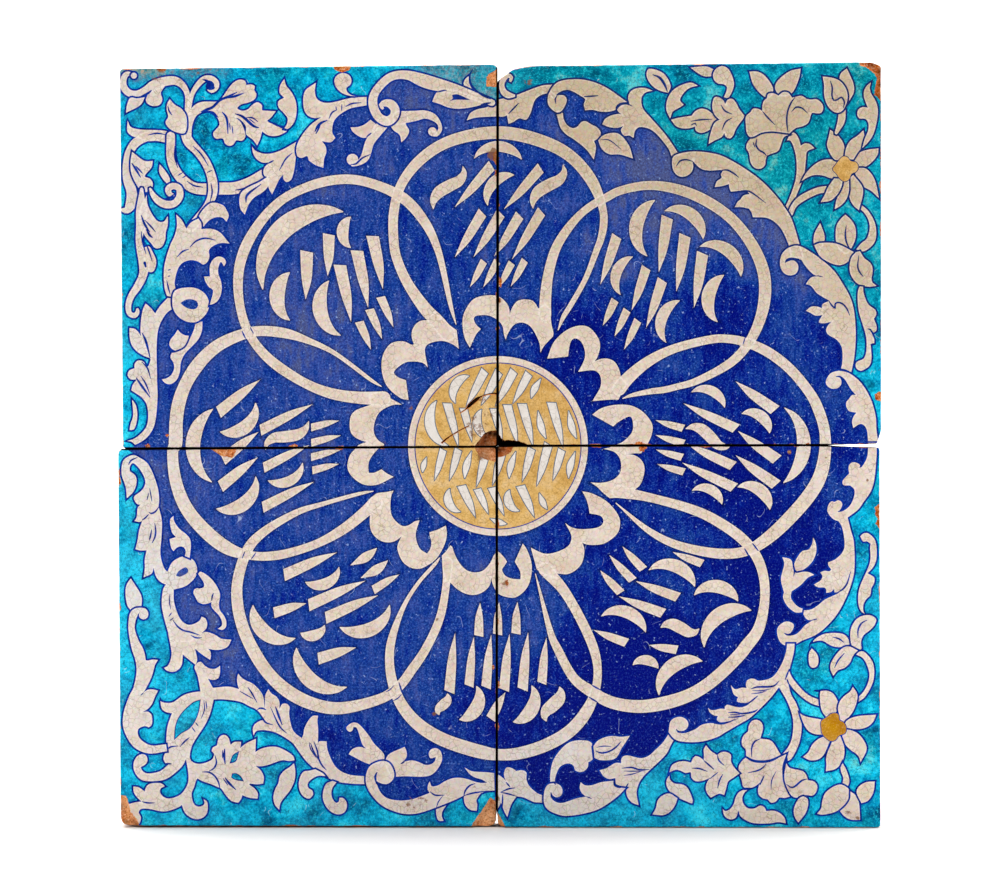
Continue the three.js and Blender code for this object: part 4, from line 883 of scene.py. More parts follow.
slip((-250, -70), shape([(-7.8, 14.2), (-10.3, 11.8), (-9, 1.2)], [(-5.8, -2.6)], [(-11, -4.2),
     (-9.4, -11.6)], [(-7.8, -13.8), (-5.2, -11), (-2, -10), (0.6, -11), (2, -13.8)], [(1.2, -17.6)],
     [(5, -19.2), (6, -8.4), (5, -3.6), (1.2, 0.6), (-3, 3.8), (-7.6, 10.8)]))
slip((-230, -120), shape([(-8.2, 18.2), (-6.6, 19.8), (2.6, 13.8), (9.2, 2.2), (8.4, -5.4), (9, -10.6),
     (12.2, -15), (14.2, -19.8), (13.8, -24.6), (11, -26.6)], [(7.4, -25.6), (10.6, -23.4), (10.8, -19.8),
     (8.4, -15), (4.2, -10.6), (2.3, -7.4)], [(2.6, -4.2), (-0.6, -5.6), (-5, -5.8), (-8.6, -3.8),
     (-10.2, -0.6), (-11.8, 2.2), (-11.4, 5.4), (-9.2, 6.7)], [(-7, 6.4), (-3.8, 7.4), (-3.4, 10.2)]))
draw((-230, -120), 1.4, [(4, 2.8), (3, 0), (2.6, -3.2)])

# Veins and folds of those leaves, and the long scroll beside the left edge, in strokes of the outline
# brush.
slip((-280, -190), shape([(-13.2, 54), (-12, 57.6), (-8.2, 60.6), (-0.2, 60.4), (2, 57.2), (1.4, 53.4),
     (-1.8, 51.8), (-4.8, 53.4), (-5.3, 56.2)], [(-4.4, 58), (-6.6, 55), (-8.8, 45.4), (-5.6, 34.8),
     (-3, 30.2), (-1, 25)], [(0, 19.2), (1.8, 19), (5.6, 19.8)], [(9.8, 19.4), (7.8, 16.4), (4.6, 5.8)],
     [(-1.6, -6.6), (1.4, -4.4), (5.6, -4)], [(9.8, -5), (7.2, -10.2), (5, -15.6), (1.4, -19.8)],
     [(-2.8, -22.2), (1.8, -21.8), (4.6, -24.2), (4.6, -32.6)], [(2.4, -34.2), (-0.2, -33.2), (-6, -35.8),
     (-5.3, -42.2), (3.4, -48.4)], [(16.2, -47.8)], [(17, -53.2), (2.4, -55), (-9.4, -49.8), (-17.4, -35.8),
     (-17.8, -24.2), (-13, -9.2), (-9.8, -2.8), (-7.2, 11), (-8.2, 19.6), (-11, 28.2), (-13.8, 45.4)]))
draw((-280, -200), 1, [(-1.6, 3.4), (-4, 1.2)])

# Lower right tile: its two grounds, turquoise below and on the right, cobalt on the side of the rosette.
paint("turquoise", 0, (150, -150), shape([(-150, 150)], [(155.6, 150)], [(155.6, -154.8)], [(-150, -154)]))
paint("cobalt", 0, (150, -140), shape([(-150, 140)], [(148.4, 140), (148.4, 120.8), (144.4, 104.8),
      (128.4, 86.4), (129.2, 72.8), (130.8, 48.8), (130.8, 32.8), (120.4, 12.8), (100.4, -5.6),
      (88.4, -15.2), (82, -23.2), (78, -33.6), (71.6, -47.2), (58, -63.2), (48.4, -72.8), (8.4, -91.2),
      (-3.6, -92.8), (-10.8, -90.4), (-19.6, -104.8), (-27.6, -112.8), (-35.6, -116.8), (-45.2, -123.2),
      (-50, -131.2), (-61.2, -140.8), (-91.6, -149.6), (-102.8, -148), (-110, -140.8), (-115.6, -140.8),
      (-131.6, -136)], [(-150, -136)]))

# The scroll on the right edge, below the level joint. Its stem runs along the edge, and its leaves point
# inwards over the cobalt.
slip((260, -80), shape([(36, 82.4), (35.2, 72), (33, 66.6)], [(30.4, 63), (28.8, 62.6), (29.4, 64.6),
     (26.6, 66.6), (23.4, 67), (20.8, 65), (20.2, 61.4)], [(20.8, 58.2), (15.4, 51.8), (16, 49)],
     [(21.4, 48.6), (24.6, 45.8), (25, 41.6), (21.4, 32.6), (15, 27.8)], [(11.8, 27.4), (13.8, 29.8),
     (15.2, 33.6), (13.8, 36.2), (11.8, 36.8), (9, 35.4), (7, 36), (4.8, 34.2), (3.4, 27.8), (8.6, 21.4)],
     [(12.2, 20.2), (15, 15.4), (16.6, -2.2), (10.6, -9.6)], [(4, -12.8), (4.2, -15.4)], [(6.4, -18.2),
     (5.4, -19.8), (1, -19.5)], [(-2.4, -20.8), (-0.6, -23.4), (-1.6, -26.6)], [(-7.4, -30.4),
     (-4.2, -32.6), (1, -32.8), (2.6, -34.6)], [(2.4, -37), (6.4, -36.2)], [(8.8, -33.6)], [(9, -36.6),
     (12.8, -36.8), (1, -42.6), (-4.2, -47), (-9.6, -50.2)], [(-16.6, -51.2), (-15.4, -55), (-12.8, -58.2)],
     [(-8.6, -59), (-15, -63.4), (-18.2, -67.2), (-22.4, -70.4), (-27.8, -71)], [(-30.4, -70), (-26.2, -69),
     (-23.4, -62.4), (-29.4, -59.8), (-35.8, -64), (-36.8, -67.8), (-34.4, -76), (-29.6, -79.2),
     (-23.2, -78.4), (-17, -75.2), (-4.2, -69.4), (9.6, -56), (18.6, -40), (24, -24), (25, -14.4),
     (24, 5.8), (22.4, 11.2)], [(19.4, 23), (27.8, 29.4), (32, 35.2), (39, 46.4), (42.4, 71)],
     [(42.6, 82.4)]))
draw((260, -100), 1, [(11.6, 47.8), (15.2, 48.3)], [(-9.6, -39), (-4.8, -37.8)])
draw((260, -100), 1.4, [(21.8, -0.2), (18.6, -10.4), (15, -14.6), (11.2, -16.8)], [(-31.2, -49),
     (-28.8, -50.4), (-25.6, -51)])
slip((250, -90), shape([(2, 17), (1, 11.6), (-1.8, 7.4), (-6.6, 6.2), (-12.4, -2.2), (-13.2, -6.8)],
     [(-11.4, -10.8), (-7, -9.2), (-0.6, -4.4), (3, 1), (4.6, 7.4), (3.6, 13.8)]))
slip((240, -110), shape([(-12.6, 21.4), (-5.8, 19.4), (-3.6, 10.8)], [(-1.4, 8.6), (5, 9.8), (9.4, 9.2)],
     [(12.8, 7.3), (8.2, 5.4), (1.8, -1)], [(-5.2, -5.8), (-5.8, -11), (-0.2, -18)], [(3.6, -19.6)],
     [(3, -22.4), (-1.4, -22.8), (-6.6, -19.6), (-10.4, -14.8), (-12, -10)], [(-11.2, -6.8), (-13.6, 3.8),
     (-11, 16.6)]))
draw((240, -100), 1.4, [(-4.3, 7.2), (-3, 1.6), (-3.5, -4)])
slip((300, -100), shape([(-10.4, 28), (-8, 30.2), (-4.8, 30.6), (1, 25.4), (2.6, 13), (1.4, 6.6),
     (-1, 2.4)], [(-4.8, -1.4), (0.7, -5), (0.3, -9.8), (-1.6, -13), (-2.6, -19), (-5.8, -22.2),
     (-8, -26.4), (-8, -31.8)], [(-7, -33.8), (-9.6, -31.8), (-11.8, -26.4), (-11.4, -14.6), (-3.2, 5.6),
     (-2.2, 12), (-2.6, 18.4)], [(-2.2, 22.2), (-5.4, 24.2), (-8, 23.8)]))

# The leaves and curls along the lower edge, right of the joint, which lie half over the cobalt and half
# over the turquoise.
slip((20, -280), shape([(-20.8, 19.2), (-15, 15.2)], [(-8.8, 8.2), (-12.8, 13), (-14.4, 19), (-12.2, 23.8),
     (-8, 23.2)], [(-4.8, 21), (0, 21.6), (3.4, 20), (3.4, 14.6), (5.4, 9.4), (13.8, 2.4)], [(18.2, 1.8)],
     [(17, -4.2), (9.6, -3.7), (1, 0)], [(-4.4, 0.8), (-8.6, -5.6)], [(-11.8, -15.6), (-13.8, -12)],
     [(-16.8, -4)], [(-20, -10.4)]))
draw((10, -280), 1.4, [(4.4, 7.5), (-0.6, 6.8), (-7.2, 4)], [(-7.2, 4), (-1.2, 2.8), (5.6, 0.8)],
     [(-5.4, 2.4), (-5.8, -7.8)], [(-2.8, 12), (0.4, 8.3)])
slip((60, -250), shape([(-17.2, -19.2), (-17.6, -13.2), (-15, -0.4), (-5.8, 11.4), (0.6, 14.8), (12.2, 15),
     (16, 12.4), (16.2, 0.4)], [(12.8, -2), (12.2, -6.2), (9, -9.2), (5.4, -9.8)], [(2.2, -8.4),
     (0.8, -4.6), (-2.2, -3), (-6.4, -3.6), (-10.2, -6.2), (-13.8, -15.4)], [(-13.4, -20.4)]))
slip((90, -240), shape([(-13.4, 0.2), (-10.2, 4.6), (-5, 7.5), (1.4, 8.8), (9, 8.2)], [(15.8, 9),
     (9.4, -0.8), (4.2, -9), (-8.2, -10.2)], [(-12.4, -8.4)]))
draw((90, -240), 1, [(-10.8, -0.2), (-5, 0.8), (1, 0.5)])
draw((90, -240), 1.4, [(-11.4, -3), (-7, -4.6), (-0.6, -3.4), (4.6, -0.2), (9, 4.6)], [(-14, 2.8),
     (-12.7, -8.4)])
slip((110, -260), shape([(-28.2, 1.6), (-22.8, 3.2), (-15.4, 7.4)], [(-11, 7.2), (-11, 9.6), (-10, 12.2),
     (-6.8, 13.4), (5, 11.2), (11.4, 13.4), (16.6, 18.2), (22, 23.4)], [(26.8, 30.4)], [(30.8, 25.6),
     (28.4, 21.4), (25.2, 15), (6, -4.2), (2.8, -9.6), (1.2, -16)], [(2.8, -26.2), (-2.6, -24),
     (-6.2, -19.2), (-7, -13.8)], [(-6.4, -11.2), (-11.6, -12), (-14.8, -10.4), (-16, -6.8)],
     [(-15.8, -4.6), (-20.6, -5.4), (-25, -3.2)]))
draw((110, -260), 1, [(-9, 1), (-2.6, 0.8), (8.4, 1.2)], [(-9, -2.6), (-2.6, -1.6), (5.2, 0.8)])
draw((110, -260), 1.4, [(-10.6, 3.2), (-2.6, 3.8), (2.8, 2.2), (11.6, 2.2)])
slip((70, -280), shape([(-25.2, 11.2), (-29.2, 10.2), (-31.8, 6.4), (-32.4, -4.8), (-29.6, -9.6),
     (-19, -14.3), (-11.6, -14.6), (5.4, -11.4), (14, -7.8), (26.8, 1.4)], [(32.4, 7.2), (27.4, 8),
     (23.6, 9.8)], [(23, 13.2), (13, 12), (5.4, 9.6), (0.2, 9.6)], [(-3.3, 12), (-4, 7.2), (-2, 3)],
     [(1.2, 0.6), (-6.2, -0.8), (-19, -4.6), (-24.4, -3), (-27.4, 0.8)], [(-27, 4.6), (-25.4, 1.4),
     (-22.2, 0), (-19, 1.4), (-17.8, 5.6), (-19.6, 9.4), (-22.8, 11)]))
draw((70, -270), 1, [(1.2, -9.4), (5.4, -11)])
draw((70, -270), 1.4, [(-27.6, 2), (-24.8, 2), (-23, 0)], [(23, 3.2), (23.6, -0.2), (27.4, -2), (32, -1.4)],
     [(34.8, 1.2), (33.2, -1.6), (32.8, -5.2)])

# The stems and small leaves along the middle and the right of the lower edge, thin slip on turquoise.
slip((200, -200), shape([(-63.2, -28), (-61.6, -19.4), (-57.8, -16.5), (-53, -16), (-48.8, -18.4),
     (-47.5, -22.2), (-49.4, -25.8), (-53, -27.2)], [(-57.4, -26), (-55.2, -28.2), (-51, -29),
     (-41.4, -25.4), (-37.6, -22.6), (-31.8, -21)], [(-27.2, -21), (-20, -21)], [(-13.6, -19), (-22.6, -20),
     (-24.8, -17.8)], [(-23.8, -15.2), (-27, -14.6), (-30.2, -12.6)], [(-31.8, -8.8), (-29.6, -10.4),
     (-25.8, -10.4), (-22.2, -9.4)], [(-18.4, -9.6), (-18.4, -7.8), (-16.8, -6.2), (-10.4, -7.8),
     (-5, -8.2), (0.2, -6.2)], [(3.6, -2), (-0.8, -4.6), (-8.8, -3.4)], [(-7.8, -0.2), (-11, 1.8)],
     [(-13.6, 9.4), (-10.4, 6.2), (-4.6, 7.4)], [(-1, 7), (-1.6, 9.8), (-0.8, 13), (2.4, 14.6), (5.6, 14.2),
     (7.8, 13), (16.2, 14.2), (20.6, 16.8), (27, 26.4), (30.6, 37)], [(31.2, 42.4)], [(37.2, 42.4),
     (36.6, 36)], [(32.8, 20.8), (35, 15.8), (45, 4), (50.4, 0.2)], [(58, -2.6)], [(57.6, -7.5),
     (49.4, -4.6), (37.6, 5)], [(31.6, 12.8), (34.4, 1.8), (38.6, -5.6), (42.7, -21.6), (40.8, -36.6),
     (34.4, -49.4)], [(32, -51), (31.2, -47.2)], [(28, -45.2), (32.2, -39.8), (35, -33.4), (36, -18.4),
     (31.8, -4.6)], [(24.8, 7.8), (17.4, -1.4), (1.4, -16.8), (-5, -20.6), (-17.8, -28), (-24.2, -31.8),
     (-39.2, -35.8), (-55.2, -35), (-59.4, -32.8)]))
draw((190, -200), 1, [(13.4, 5), (21, 5), (28.4, 6.6)], [(12.4, 2.4), (19.8, 3.4), (25.2, 5)],
     [(-4.4, -14.2), (3.6, -14.2)])
draw((190, -200), 1.4, [(-47.2, -25.6), (-45.6, -27.8), (-41.2, -28.4)], [(12.4, 6.4), (16.6, 7.8),
     (30.6, 8.8), (34.8, 12.6)], [(17.8, 0.8), (10, -5.6)], [(-5.8, -12.6), (-0.4, -12.2), (5, -13.3),
     (15.6, -11.4), (17.8, -9.8)], [(-5.8, -16.2), (1.8, -15.8), (8.4, -14.4)], [(-17.2, -21.2),
     (-10, -21.3), (2, -17.2)], [(39.6, 13.6), (43, 22.4)], [(41, 14.4), (42.8, 9.6)])
slip((270, -150), shape([(11.8, -7.6), (8.2, -1.4), (3.8, 0.6), (-9, 0.2), (-15.4, -3)], [(-18.8, -6.4),
     (-14.8, -5.2), (-10, -5.4), (-4.6, -8.6), (0.6, -10.2), (6.8, -9.8)]))
draw((260, -160), 1.4, [(7.4, 7.8), (12.8, 6.2), (16.6, 3.4)], [(-11.2, -1.6), (-10.6, 2), (-8, 4.2)])
slip((290, -150), shape([(-2.4, -13.6), (-7, -9.6), (-8.2, 2.2), (-6, 8.6), (-2.2, 13), (3, 15),
     (8.4, 14.8), (12.2, 11.8), (11, 7.6), (7.4, 3.4), (2, -1), (0, -6.6), (0.4, -11.6)]))
draw((290, -150), 1.4, [(5.2, 11.4), (0.4, 8.6), (-2.2, 3.4), (-2.2, -3)])
slip((250, -170), shape([(1, 8.6), (-1.2, 5), (-0.6, -5.2), (2, -6.8), (5.2, -5.2), (6.2, -1), (5.2, 3.8)]))
slip((280, -170), shape([(-12, -13.2), (-14.2, -7.8), (-13.6, -2.6), (-5, 8.6), (0.2, 10.2)], [(8, 6.8),
     (3.4, 2.2), (1.4, -2.6), (-3, -6.8), (-8.2, -8.7)]))
draw((270, -170), 1.4, [(7, 5), (1.8, -1), (-1, -6.8)])
slip((290, -180), shape([(-3.6, 13.8), (-1.2, 16), (2, 16.2), (9.4, 7.4), (10, -6.4), (3, -20.2)],
     [(-2, -23.8)], [(-2.8, -20.8), (2, -16), (5.8, -8.6), (6.8, -1), (2, 10.6)]))

# An open flower whose petals are slip, and whose middle is a thick dab of ochre with a thin outline.
slip((260, -210), shape([(-2.2, 14.6), (2.2, 15), (7.4, 13), (12, 4.4)], [(9.6, -3.6)], [(3.2, -6.8),
     (-1, -1), (-2.6, 10)]))
draw((260, -200), 2, [(-7.4, 5), (-2.2, 4.8)])
slip((280, -210), shape([(3.6, 18), (7.2, 11.8), (4, -1)], [(-3.2, -10)], [(-6.6, -7.8), (-7.4, -3),
     (-8.2, 0.6), (-6.6, 6.6), (-3, 10.8), (1.8, 14.6)]))
slip((290, -220), shape([(12.2, 5.8), (-1.2, 4.8), (-7.6, 3.2), (-11.6, 0.6)], [(-13.2, -2.4)],
     [(-12.4, -5.2), (-0.2, -5.4), (6.2, -3.2), (10, 0.6)]))
slip((280, -240), shape([(-2.4, 14.2), (3.4, 13), (8.8, 9.8), (14.6, -0.8)], [(9.8, -12), (9, -8.8),
     (6.6, -5.6), (1.4, -1.8), (-2.4, 2.4)], [(-4.8, 8.8)]))
slip((270, -250), shape([(3.6, 18.8), (6.6, 10.2), (6.6, 2.8), (3.8, -3.6), (-0.4, -7.4)], [(-7.8, -9.2),
     (-7.4, -3.6), (-7.6, 1.8)], [(-2, 16.4)]))
slip((250, -240), shape([(15.6, 5.6), (10, -6.6), (5.8, -9.8), (-0.6, -10.4)], [(-6, -7.8), (-1.8, -4),
     (1, 1.4), (5.8, 6.2)], [(11.6, 8.8)]))
slip((250, -220), shape([(-8.6, 7), (-5, 4.8)], [(8.4, 2), (10, -4)], [(10, -10), (3.6, -9.6), (-1.8, -7),
     (-5.4, -1.6)]))
paint("ochre", 0.6, (270, -220), loop([(-11.6, 0.6), (-6.8, 4.2), (-4.2, 6.4), (-0.4, 7.2), (2.2, 5.8),
      (3, 1.6), (6.6, -0.6), (8.4, -4.8), (7.6, -8.6), (2.2, -11.2), (-0.4, -14.4), (-4.2, -15.2),
      (-10.6, -9.6), (-11.6, -4.8)]))
slip((280, -260), shape([(-6.2, 3.8)], [(-4.6, 7.2), (-1.8, 2.2), (0.8, -7.4)], [(-0.8, -12)],
     [(-4.8, -10.4), (-4, -4.2), (-5.6, 0)]))
slip((270, -280), shape([(-14.8, -13), (-11.6, -8.8), (-10.6, -2.4), (-7.8, 4), (3.8, 10.2), (11.4, 5),
     (10.8, -0.2), (1.8, -10.4), (-11, -13.8)]))
slip((280, -290), shape([(1.8, 14.6), (5.6, 11.8), (8.2, 6.6)], [(9.4, -7.8), (2.4, -7.8), (-3, -5.2)],
     [(-6.6, -1), (-1.8, 3.4), (1.4, 8.6)]))
slip((290, -280), shape([(11, 12.6), (4.2, 12), (-1.2, 8.8), (-3.4, 4.6)], [(0.4, -4.6), (5.2, -3),
     (9, 1.8), (10.6, 7.2)]))

# A full flower with frilled petals, laid over each other, and the strokes that shade its folds.
slip((210, -230), shape([(-11.4, -17.8), (-11.8, -11.8), (-14.6, -8.6), (-14.6, -3.4), (-12.4, 0.4),
     (-9.8, 2.6), (-9.5, 6.2), (-7, 10.6), (-3.4, 11.8), (0.4, 10), (2, 5.8)], [(-0.2, -3.2), (8.4, -5)],
     [(16, -16), (13.8, -18.2), (1, -21), (-6.6, -19.8)]))
draw((210, -240), 1.4, [(-0.2, 6.6), (-4.4, 4.6), (-6.8, 0.2), (-7, -8)])
slip((210, -260), shape([(-11.8, 11.6), (-15, 8.6), (-17.4, 3.8), (-15, -6.4), (-13.4, -11.8),
     (-9.8, -12.8), (-4.4, -11.2)], [(-0.2, -8), (-1.8, -12.8), (-1.4, -17.6), (2, -20.8), (5.8, -21.6),
     (8.4, -24.3), (12.6, -23), (14.8, -20.2), (19, -20.5)], [(23.8, -19.2), (18.6, -8.6), (17.4, 4.2)],
     [(20.6, 14.4), (8.4, 9), (1, 8), (-6.6, 9)]))
draw((210, -260), 1, [(12.6, 1), (9, -6.4), (8.4, -13.8)])
draw((210, -260), 1.4, [(4.6, 6.4), (-0.2, 2.2), (-10.2, -0.6)], [(3, -2.6), (-0.6, -10.4)], [(20.8, 14),
     (18.8, 4.8)])
draw((210, -260), 2, [(-11.6, 11.8), (-6.6, 9.4), (1, 8.3), (8.4, 9.4), (15.6, 12.4)])
slip((240, -270), shape([(-9.4, 17.2), (-7.2, 13.8), (4, 10.6), (6.6, 7.4)], [(7.8, 3.6), (12.6, 2.6),
     (15.2, -0.6), (14.2, -6), (11.4, -8.6), (7.2, -8.2), (2.4, -8.6), (-0.2, -10.2), (-4.6, -9.2),
     (-9.8, 0.4), (-11, 6.8)]))
draw((240, -270), 1.4, [(-9.4, 0.4), (-4.6, -2.2), (3.4, 3.6), (7.2, 4.6)])
slip((240, -290), shape([(4, 10.8), (7.2, 9.2), (8, 5), (6.2, -2)], [(0.2, -10), (-2.4, -6.2), (-3.4, 0.2),
     (0.8, 9.2)]))
slip((170, -260), shape([(-3.4, 21.4), (0.4, 17)], [(5.4, 13.6), (9, 16), (13.2, 16), (16.4, 13.8),
     (16.4, 8.6), (19, 3.8)], [(23.2, -0.8), (18.6, -4.2), (14.2, -7.4), (12.6, -12.8)], [(11, -18.2),
     (7.4, -17)], [(0.4, -20.2), (-2.2, -17), (-3.6, -12.8), (-2.2, -7.4)], [(0, -4.4), (-7, -7),
     (-11.8, -7), (-15, -4.2), (-15.6, 0), (-19.8, -0.6), (-23, 1), (-27.4, 2)], [(-32.6, 0), (-30.6, 5.4),
     (-26.2, 8), (-21, 8.8)], [(-15.2, 7.6), (-14, 10.6), (-11.8, 12.8), (-8.2, 11.8)], [(-5.2, 9.4),
     (-5, 13.8), (-5.2, 18.2)]))
draw((170, -260), 1, [(6.2, 0), (-0.4, -5.2)])
draw((170, -260), 1.4, [(-14.6, 3.2), (-9.2, 3), (-2.2, 0.6)], [(-5.2, 9.4), (3, 2.2)], [(5.6, 13.8),
     (6.8, 9.6), (11, 5.4)], [(10, -1.6), (7.4, -6.4), (5.8, -12.8)])
slip((150, -270), shape([(-12.6, 7.4), (-14.8, 3.6), (-14.8, -0.6), (-12.2, -5.4), (-7.4, -9.2), (2, -13.6),
     (5.6, -14.8), (6, -12.8), (1.2, -1.8), (-3, 0.4), (-8.4, 1), (-12.2, 4.2)]))
slip((130, -290), shape([(-6, -3.6), (-3.4, 1.2), (-1.8, 7.6), (2, 11.4), (7.4, 13)], [(13.8, 9.2),
     (12.2, 4.4), (8.4, -1), (3, -4)]))
slip((210, -290), shape([(-13, 16.2), (-17.2, 14), (-19.8, 9.8), (-21.4, 4.4), (-24.6, 0.2), (-28.4, -1)],
     [(-30, 0.8), (-29.4, -3), (-27.8, -5.8), (-23.6, -7.6), (-19.8, -6.2)], [(-17.3, -0.2), (-16.2, -4.6),
     (-7.6, -10), (8.4, -10.6), (13.8, -9.7)], [(20.2, -10.6), (19, -6.2), (15.4, -2.6), (10.6, -0.7)],
     [(4.6, -1), (3, 2.2), (-0.2, 3.4), (-4.4, 1.2), (-9.8, 1.2), (-13.4, 4.4), (-14.6, 9.2), (-13, 13.4)],
     [(-10, 16.4)]))
draw((200, -270), 1.4, [(-4, -3.8), (0.4, -3.6)])

# Eight rings of bare slip on the cobalt, clockwise from the top, each with the piece of the lobed collar
# that it grows out of. They overlap like the petals of a flower.
paint("cream", 0, (0, 0), stroke([(-39.2, 89.6, 11), (-48.8, 100.8, 10.5), (-56, 108, 10),
      (-71.6, 130.4, 8), (-79.8, 149.4, 7.5), (-81.8, 158.4), (-82.4, 184.8), (-76.8, 207.2),
      (-61.6, 227.6, 8.5), (-38.4, 242.6, 9), (1.6, 249.8, 10), (37.6, 242.2), (59.2, 230.4, 9.5),
      (76, 210.4, 9), (84.5, 188, 6), (85, 176.8), (82.7, 164.8, 5.5), (79.4, 156, 5), (70.6, 133.4, 4),
      (58.4, 111.6), (53, 103, 3.5), (48.6, 92.2, 0.6)]), shape([(-55.8, 100.2), (-60, 100), (-64.2, 97.6),
      (-67.4, 92.8), (-68, 87.4)], [(-66.2, 81.2), (-67.4, 80.6), (-73.8, 83.2), (-79.2, 83.4),
      (-84.6, 81.6), (-88.8, 76.8), (-91.4, 70.4), (-92, 61.8), (-87.8, 48), (-76, 37.8)], [(-70.5, 36.8)],
      [(-72.6, 52.5), (-79.2, 55), (-82.2, 58.6), (-76, 65), (-70.6, 67.2), (-59, 66.2)], [(-55.2, 62.7),
      (-57.4, 77.4), (-55.2, 81), (-44, 83.8), (-34.4, 80.6)], [(-30.4, 77.4)], [(-32.2, 92.2),
      (-41.6, 99.2), (-49.6, 105.6)]))
paint("cream", 0, (0, 0), stroke([(38.4, 104.8, 9.5), (38.6, 116.8, 9), (40.8, 136, 8), (46.6, 156.8, 7.5),
      (54.6, 170.6, 7), (65.6, 183.8, 6), (75.6, 191.8), (86.8, 197.8, 6.5), (96.8, 203), (120.4, 207.7, 7),
      (143.2, 204.8, 8), (164.8, 196.4, 8.5), (187.2, 180.8), (204.4, 158.4, 9), (212.6, 137.6, 9.5),
      (213.4, 118.4), (209.2, 99.6, 8.5), (200.8, 82.4, 7.5), (187.2, 67.2, 7), (157.6, 51.2, 5.5),
      (144, 47.4, 5), (133.2, 44.8), (122.4, 43.5, 4.5), (106.4, 40.2, 2.6), (100, 37.8, 0.6)]),
      shape([(-21.6, 78.4), (-25.8, 86.4), (-27.4, 100.2), (-25.4, 107.8), (-17.4, 117.8), (0.8, 119.4),
      (8.2, 113), (9.8, 108.8)], [(10.2, 104), (11.4, 108.8), (16.8, 115.8), (27.4, 116.2), (30.6, 113.6)],
      [(32.8, 109.6)], [(38.4, 112.8)], [(42.4, 108.8), (43.4, 97), (45, 89.6)], [(44.6, 87.4), (37, 79)],
      [(34.7, 74.4), (33.8, 82.2), (27.4, 94.4), (23.2, 97.6), (18.4, 98.4), (13.6, 96.6), (8.2, 88.6)],
      [(7, 84.8), (5.6, 88.6), (4.6, 95), (1.8, 99.2), (-6.6, 104), (-17.4, 103.4), (-18.6, 101.8),
      (-16.8, 97)], [(-12.8, 93.2), (-16.2, 89.6)]))
paint("cream", 0, (0, 0), stroke([(97.6, 45.6, 10.5), (103.2, 52.8, 10), (119.2, 66.4, 8.5), (139.6, 77, 7),
      (173.6, 85.4, 6.5), (184.2, 85.4), (194.4, 83.7, 7), (213.6, 76.2, 8), (232.4, 62.4), (248.8, 43),
      (255, 31.8, 8.5), (261.4, 9.6), (259, -19.2, 10.5), (250, -37.6, 11), (217.6, -72, 10),
      (198.4, -83.6, 8), (178.4, -85.8), (144, -79, 6.5), (122.4, -68.4, 5), (94.6, -45.4, 0.6)]),
      shape([(40, 69.6), (45.6, 83.2), (57.4, 93.4), (68, 96), (74.4, 93.8), (82, 82.2), (79.8, 70.4)],
      [(77.6, 67.4), (83, 69.4), (88.2, 69.6), (93.6, 67.2), (97.4, 60.8)], [(98.7, 54.4)], [(103.2, 49.6)],
      [(96.8, 37), (90.4, 37)], [(76, 35.8), (82.4, 47), (83, 52.8), (81.4, 57.6), (77.6, 60.2)],
      [(64.6, 59.2), (68, 65), (70.2, 71.4), (69.6, 77.8), (67, 83.2), (63.8, 85.6), (60.6, 85.4),
      (58.4, 82.2)], [(56.6, 71.4)]))
paint("cream", 0, (0, 0), stroke([(96.8, -36.4, 9.5), (120, -40.7, 7), (154.4, -50.2, 7.5),
      (171.4, -57.6, 8), (195.2, -73.8, 8.5), (207.2, -88.8, 8), (212.8, -106.4, 7.5), (213, -126.4),
      (207.8, -147.2, 9), (198.6, -159.6, 10), (194, -165.6), (172, -186.8), (154.4, -198),
      (133, -205, 10.5), (111.8, -207.6, 10), (90.4, -204, 9.5), (74.4, -195.2, 9), (61.6, -185.4, 7.5),
      (47.8, -160.8, 6.5), (44.2, -153.2, 5.5), (30.6, -101.8, 0.6)]), shape([(76, 25), (81.8, 29.4),
      (89.4, 32), (99, 33), (107.4, 32), (115, 28.2), (120.8, 22.4), (124, 16), (123.4, 9.6), (120.8, 3.2),
      (116.6, -3.2), (115, -5.6), (110.6, -5.8)], [(103.2, -6.4), (109.6, -7.4), (115, -11.2),
      (117.6, -17.6), (114.4, -30.4)], [(109.6, -35)], [(106.4, -42.4), (95.8, -41.3)], [(89.8, -41.6),
      (84, -36.8), (79.8, -32.6)], [(74.6, -29), (81.8, -29.4), (88.2, -28.5), (93.6, -26.2), (97.8, -21.8),
      (99, -14.4), (97.4, -9), (93.6, -4.8)], [(85, -2.2), (89.6, -1.2), (93.6, 0.6), (100, 3.2),
      (107.4, 10.6), (108.6, 16), (106.4, 23.4), (96.8, 19.2)], [(92.6, 15.6)]))
paint("cream", 0, (0, 0), stroke([(38.4, -98.4, 10.5), (54.4, -116.8, 8), (76.4, -159.6, 7.5),
      (80.2, -178.4, 6.5), (78.2, -196, 7), (70.8, -212.4, 9.5), (58, -227.2, 10), (39.2, -238.2),
      (17.2, -245, 9.5), (0.8, -246, 9), (-12, -244, 10.5), (-44.8, -233.2), (-64.4, -220.4, 10),
      (-76.4, -205.6, 9), (-82.8, -190, 8), (-85.6, -173.4, 7), (-84.4, -156.4, 6.5), (-74.4, -128, 3.5),
      (-62.6, -109, 2.8), (-48.8, -93.4, 2.4), (-45.6, -89, 0.6)]), shape([(27, -81), (37, -85.6),
      (43.4, -85.6), (55.2, -81), (58.4, -77.4), (59.4, -72)], [(54.4, -61.4), (58.4, -64.3), (64.8, -66.2),
      (79.8, -65), (84, -62.4), (84.8, -59.2), (83, -56)], [(73.8, -53.6), (72.8, -47.4), (70.6, -41)],
      [(68, -36.2), (74.4, -37.4), (88.2, -44.8), (97.4, -57), (98, -63.4), (95.8, -69.8), (85, -77.8),
      (71.2, -78.4)], [(68, -77), (69.6, -82.6), (67, -94.4), (57.4, -101.8)], [(47.6, -101.6)],
      [(47.2, -104.8)], [(38.4, -102.4)], [(31.8, -98.6)]))
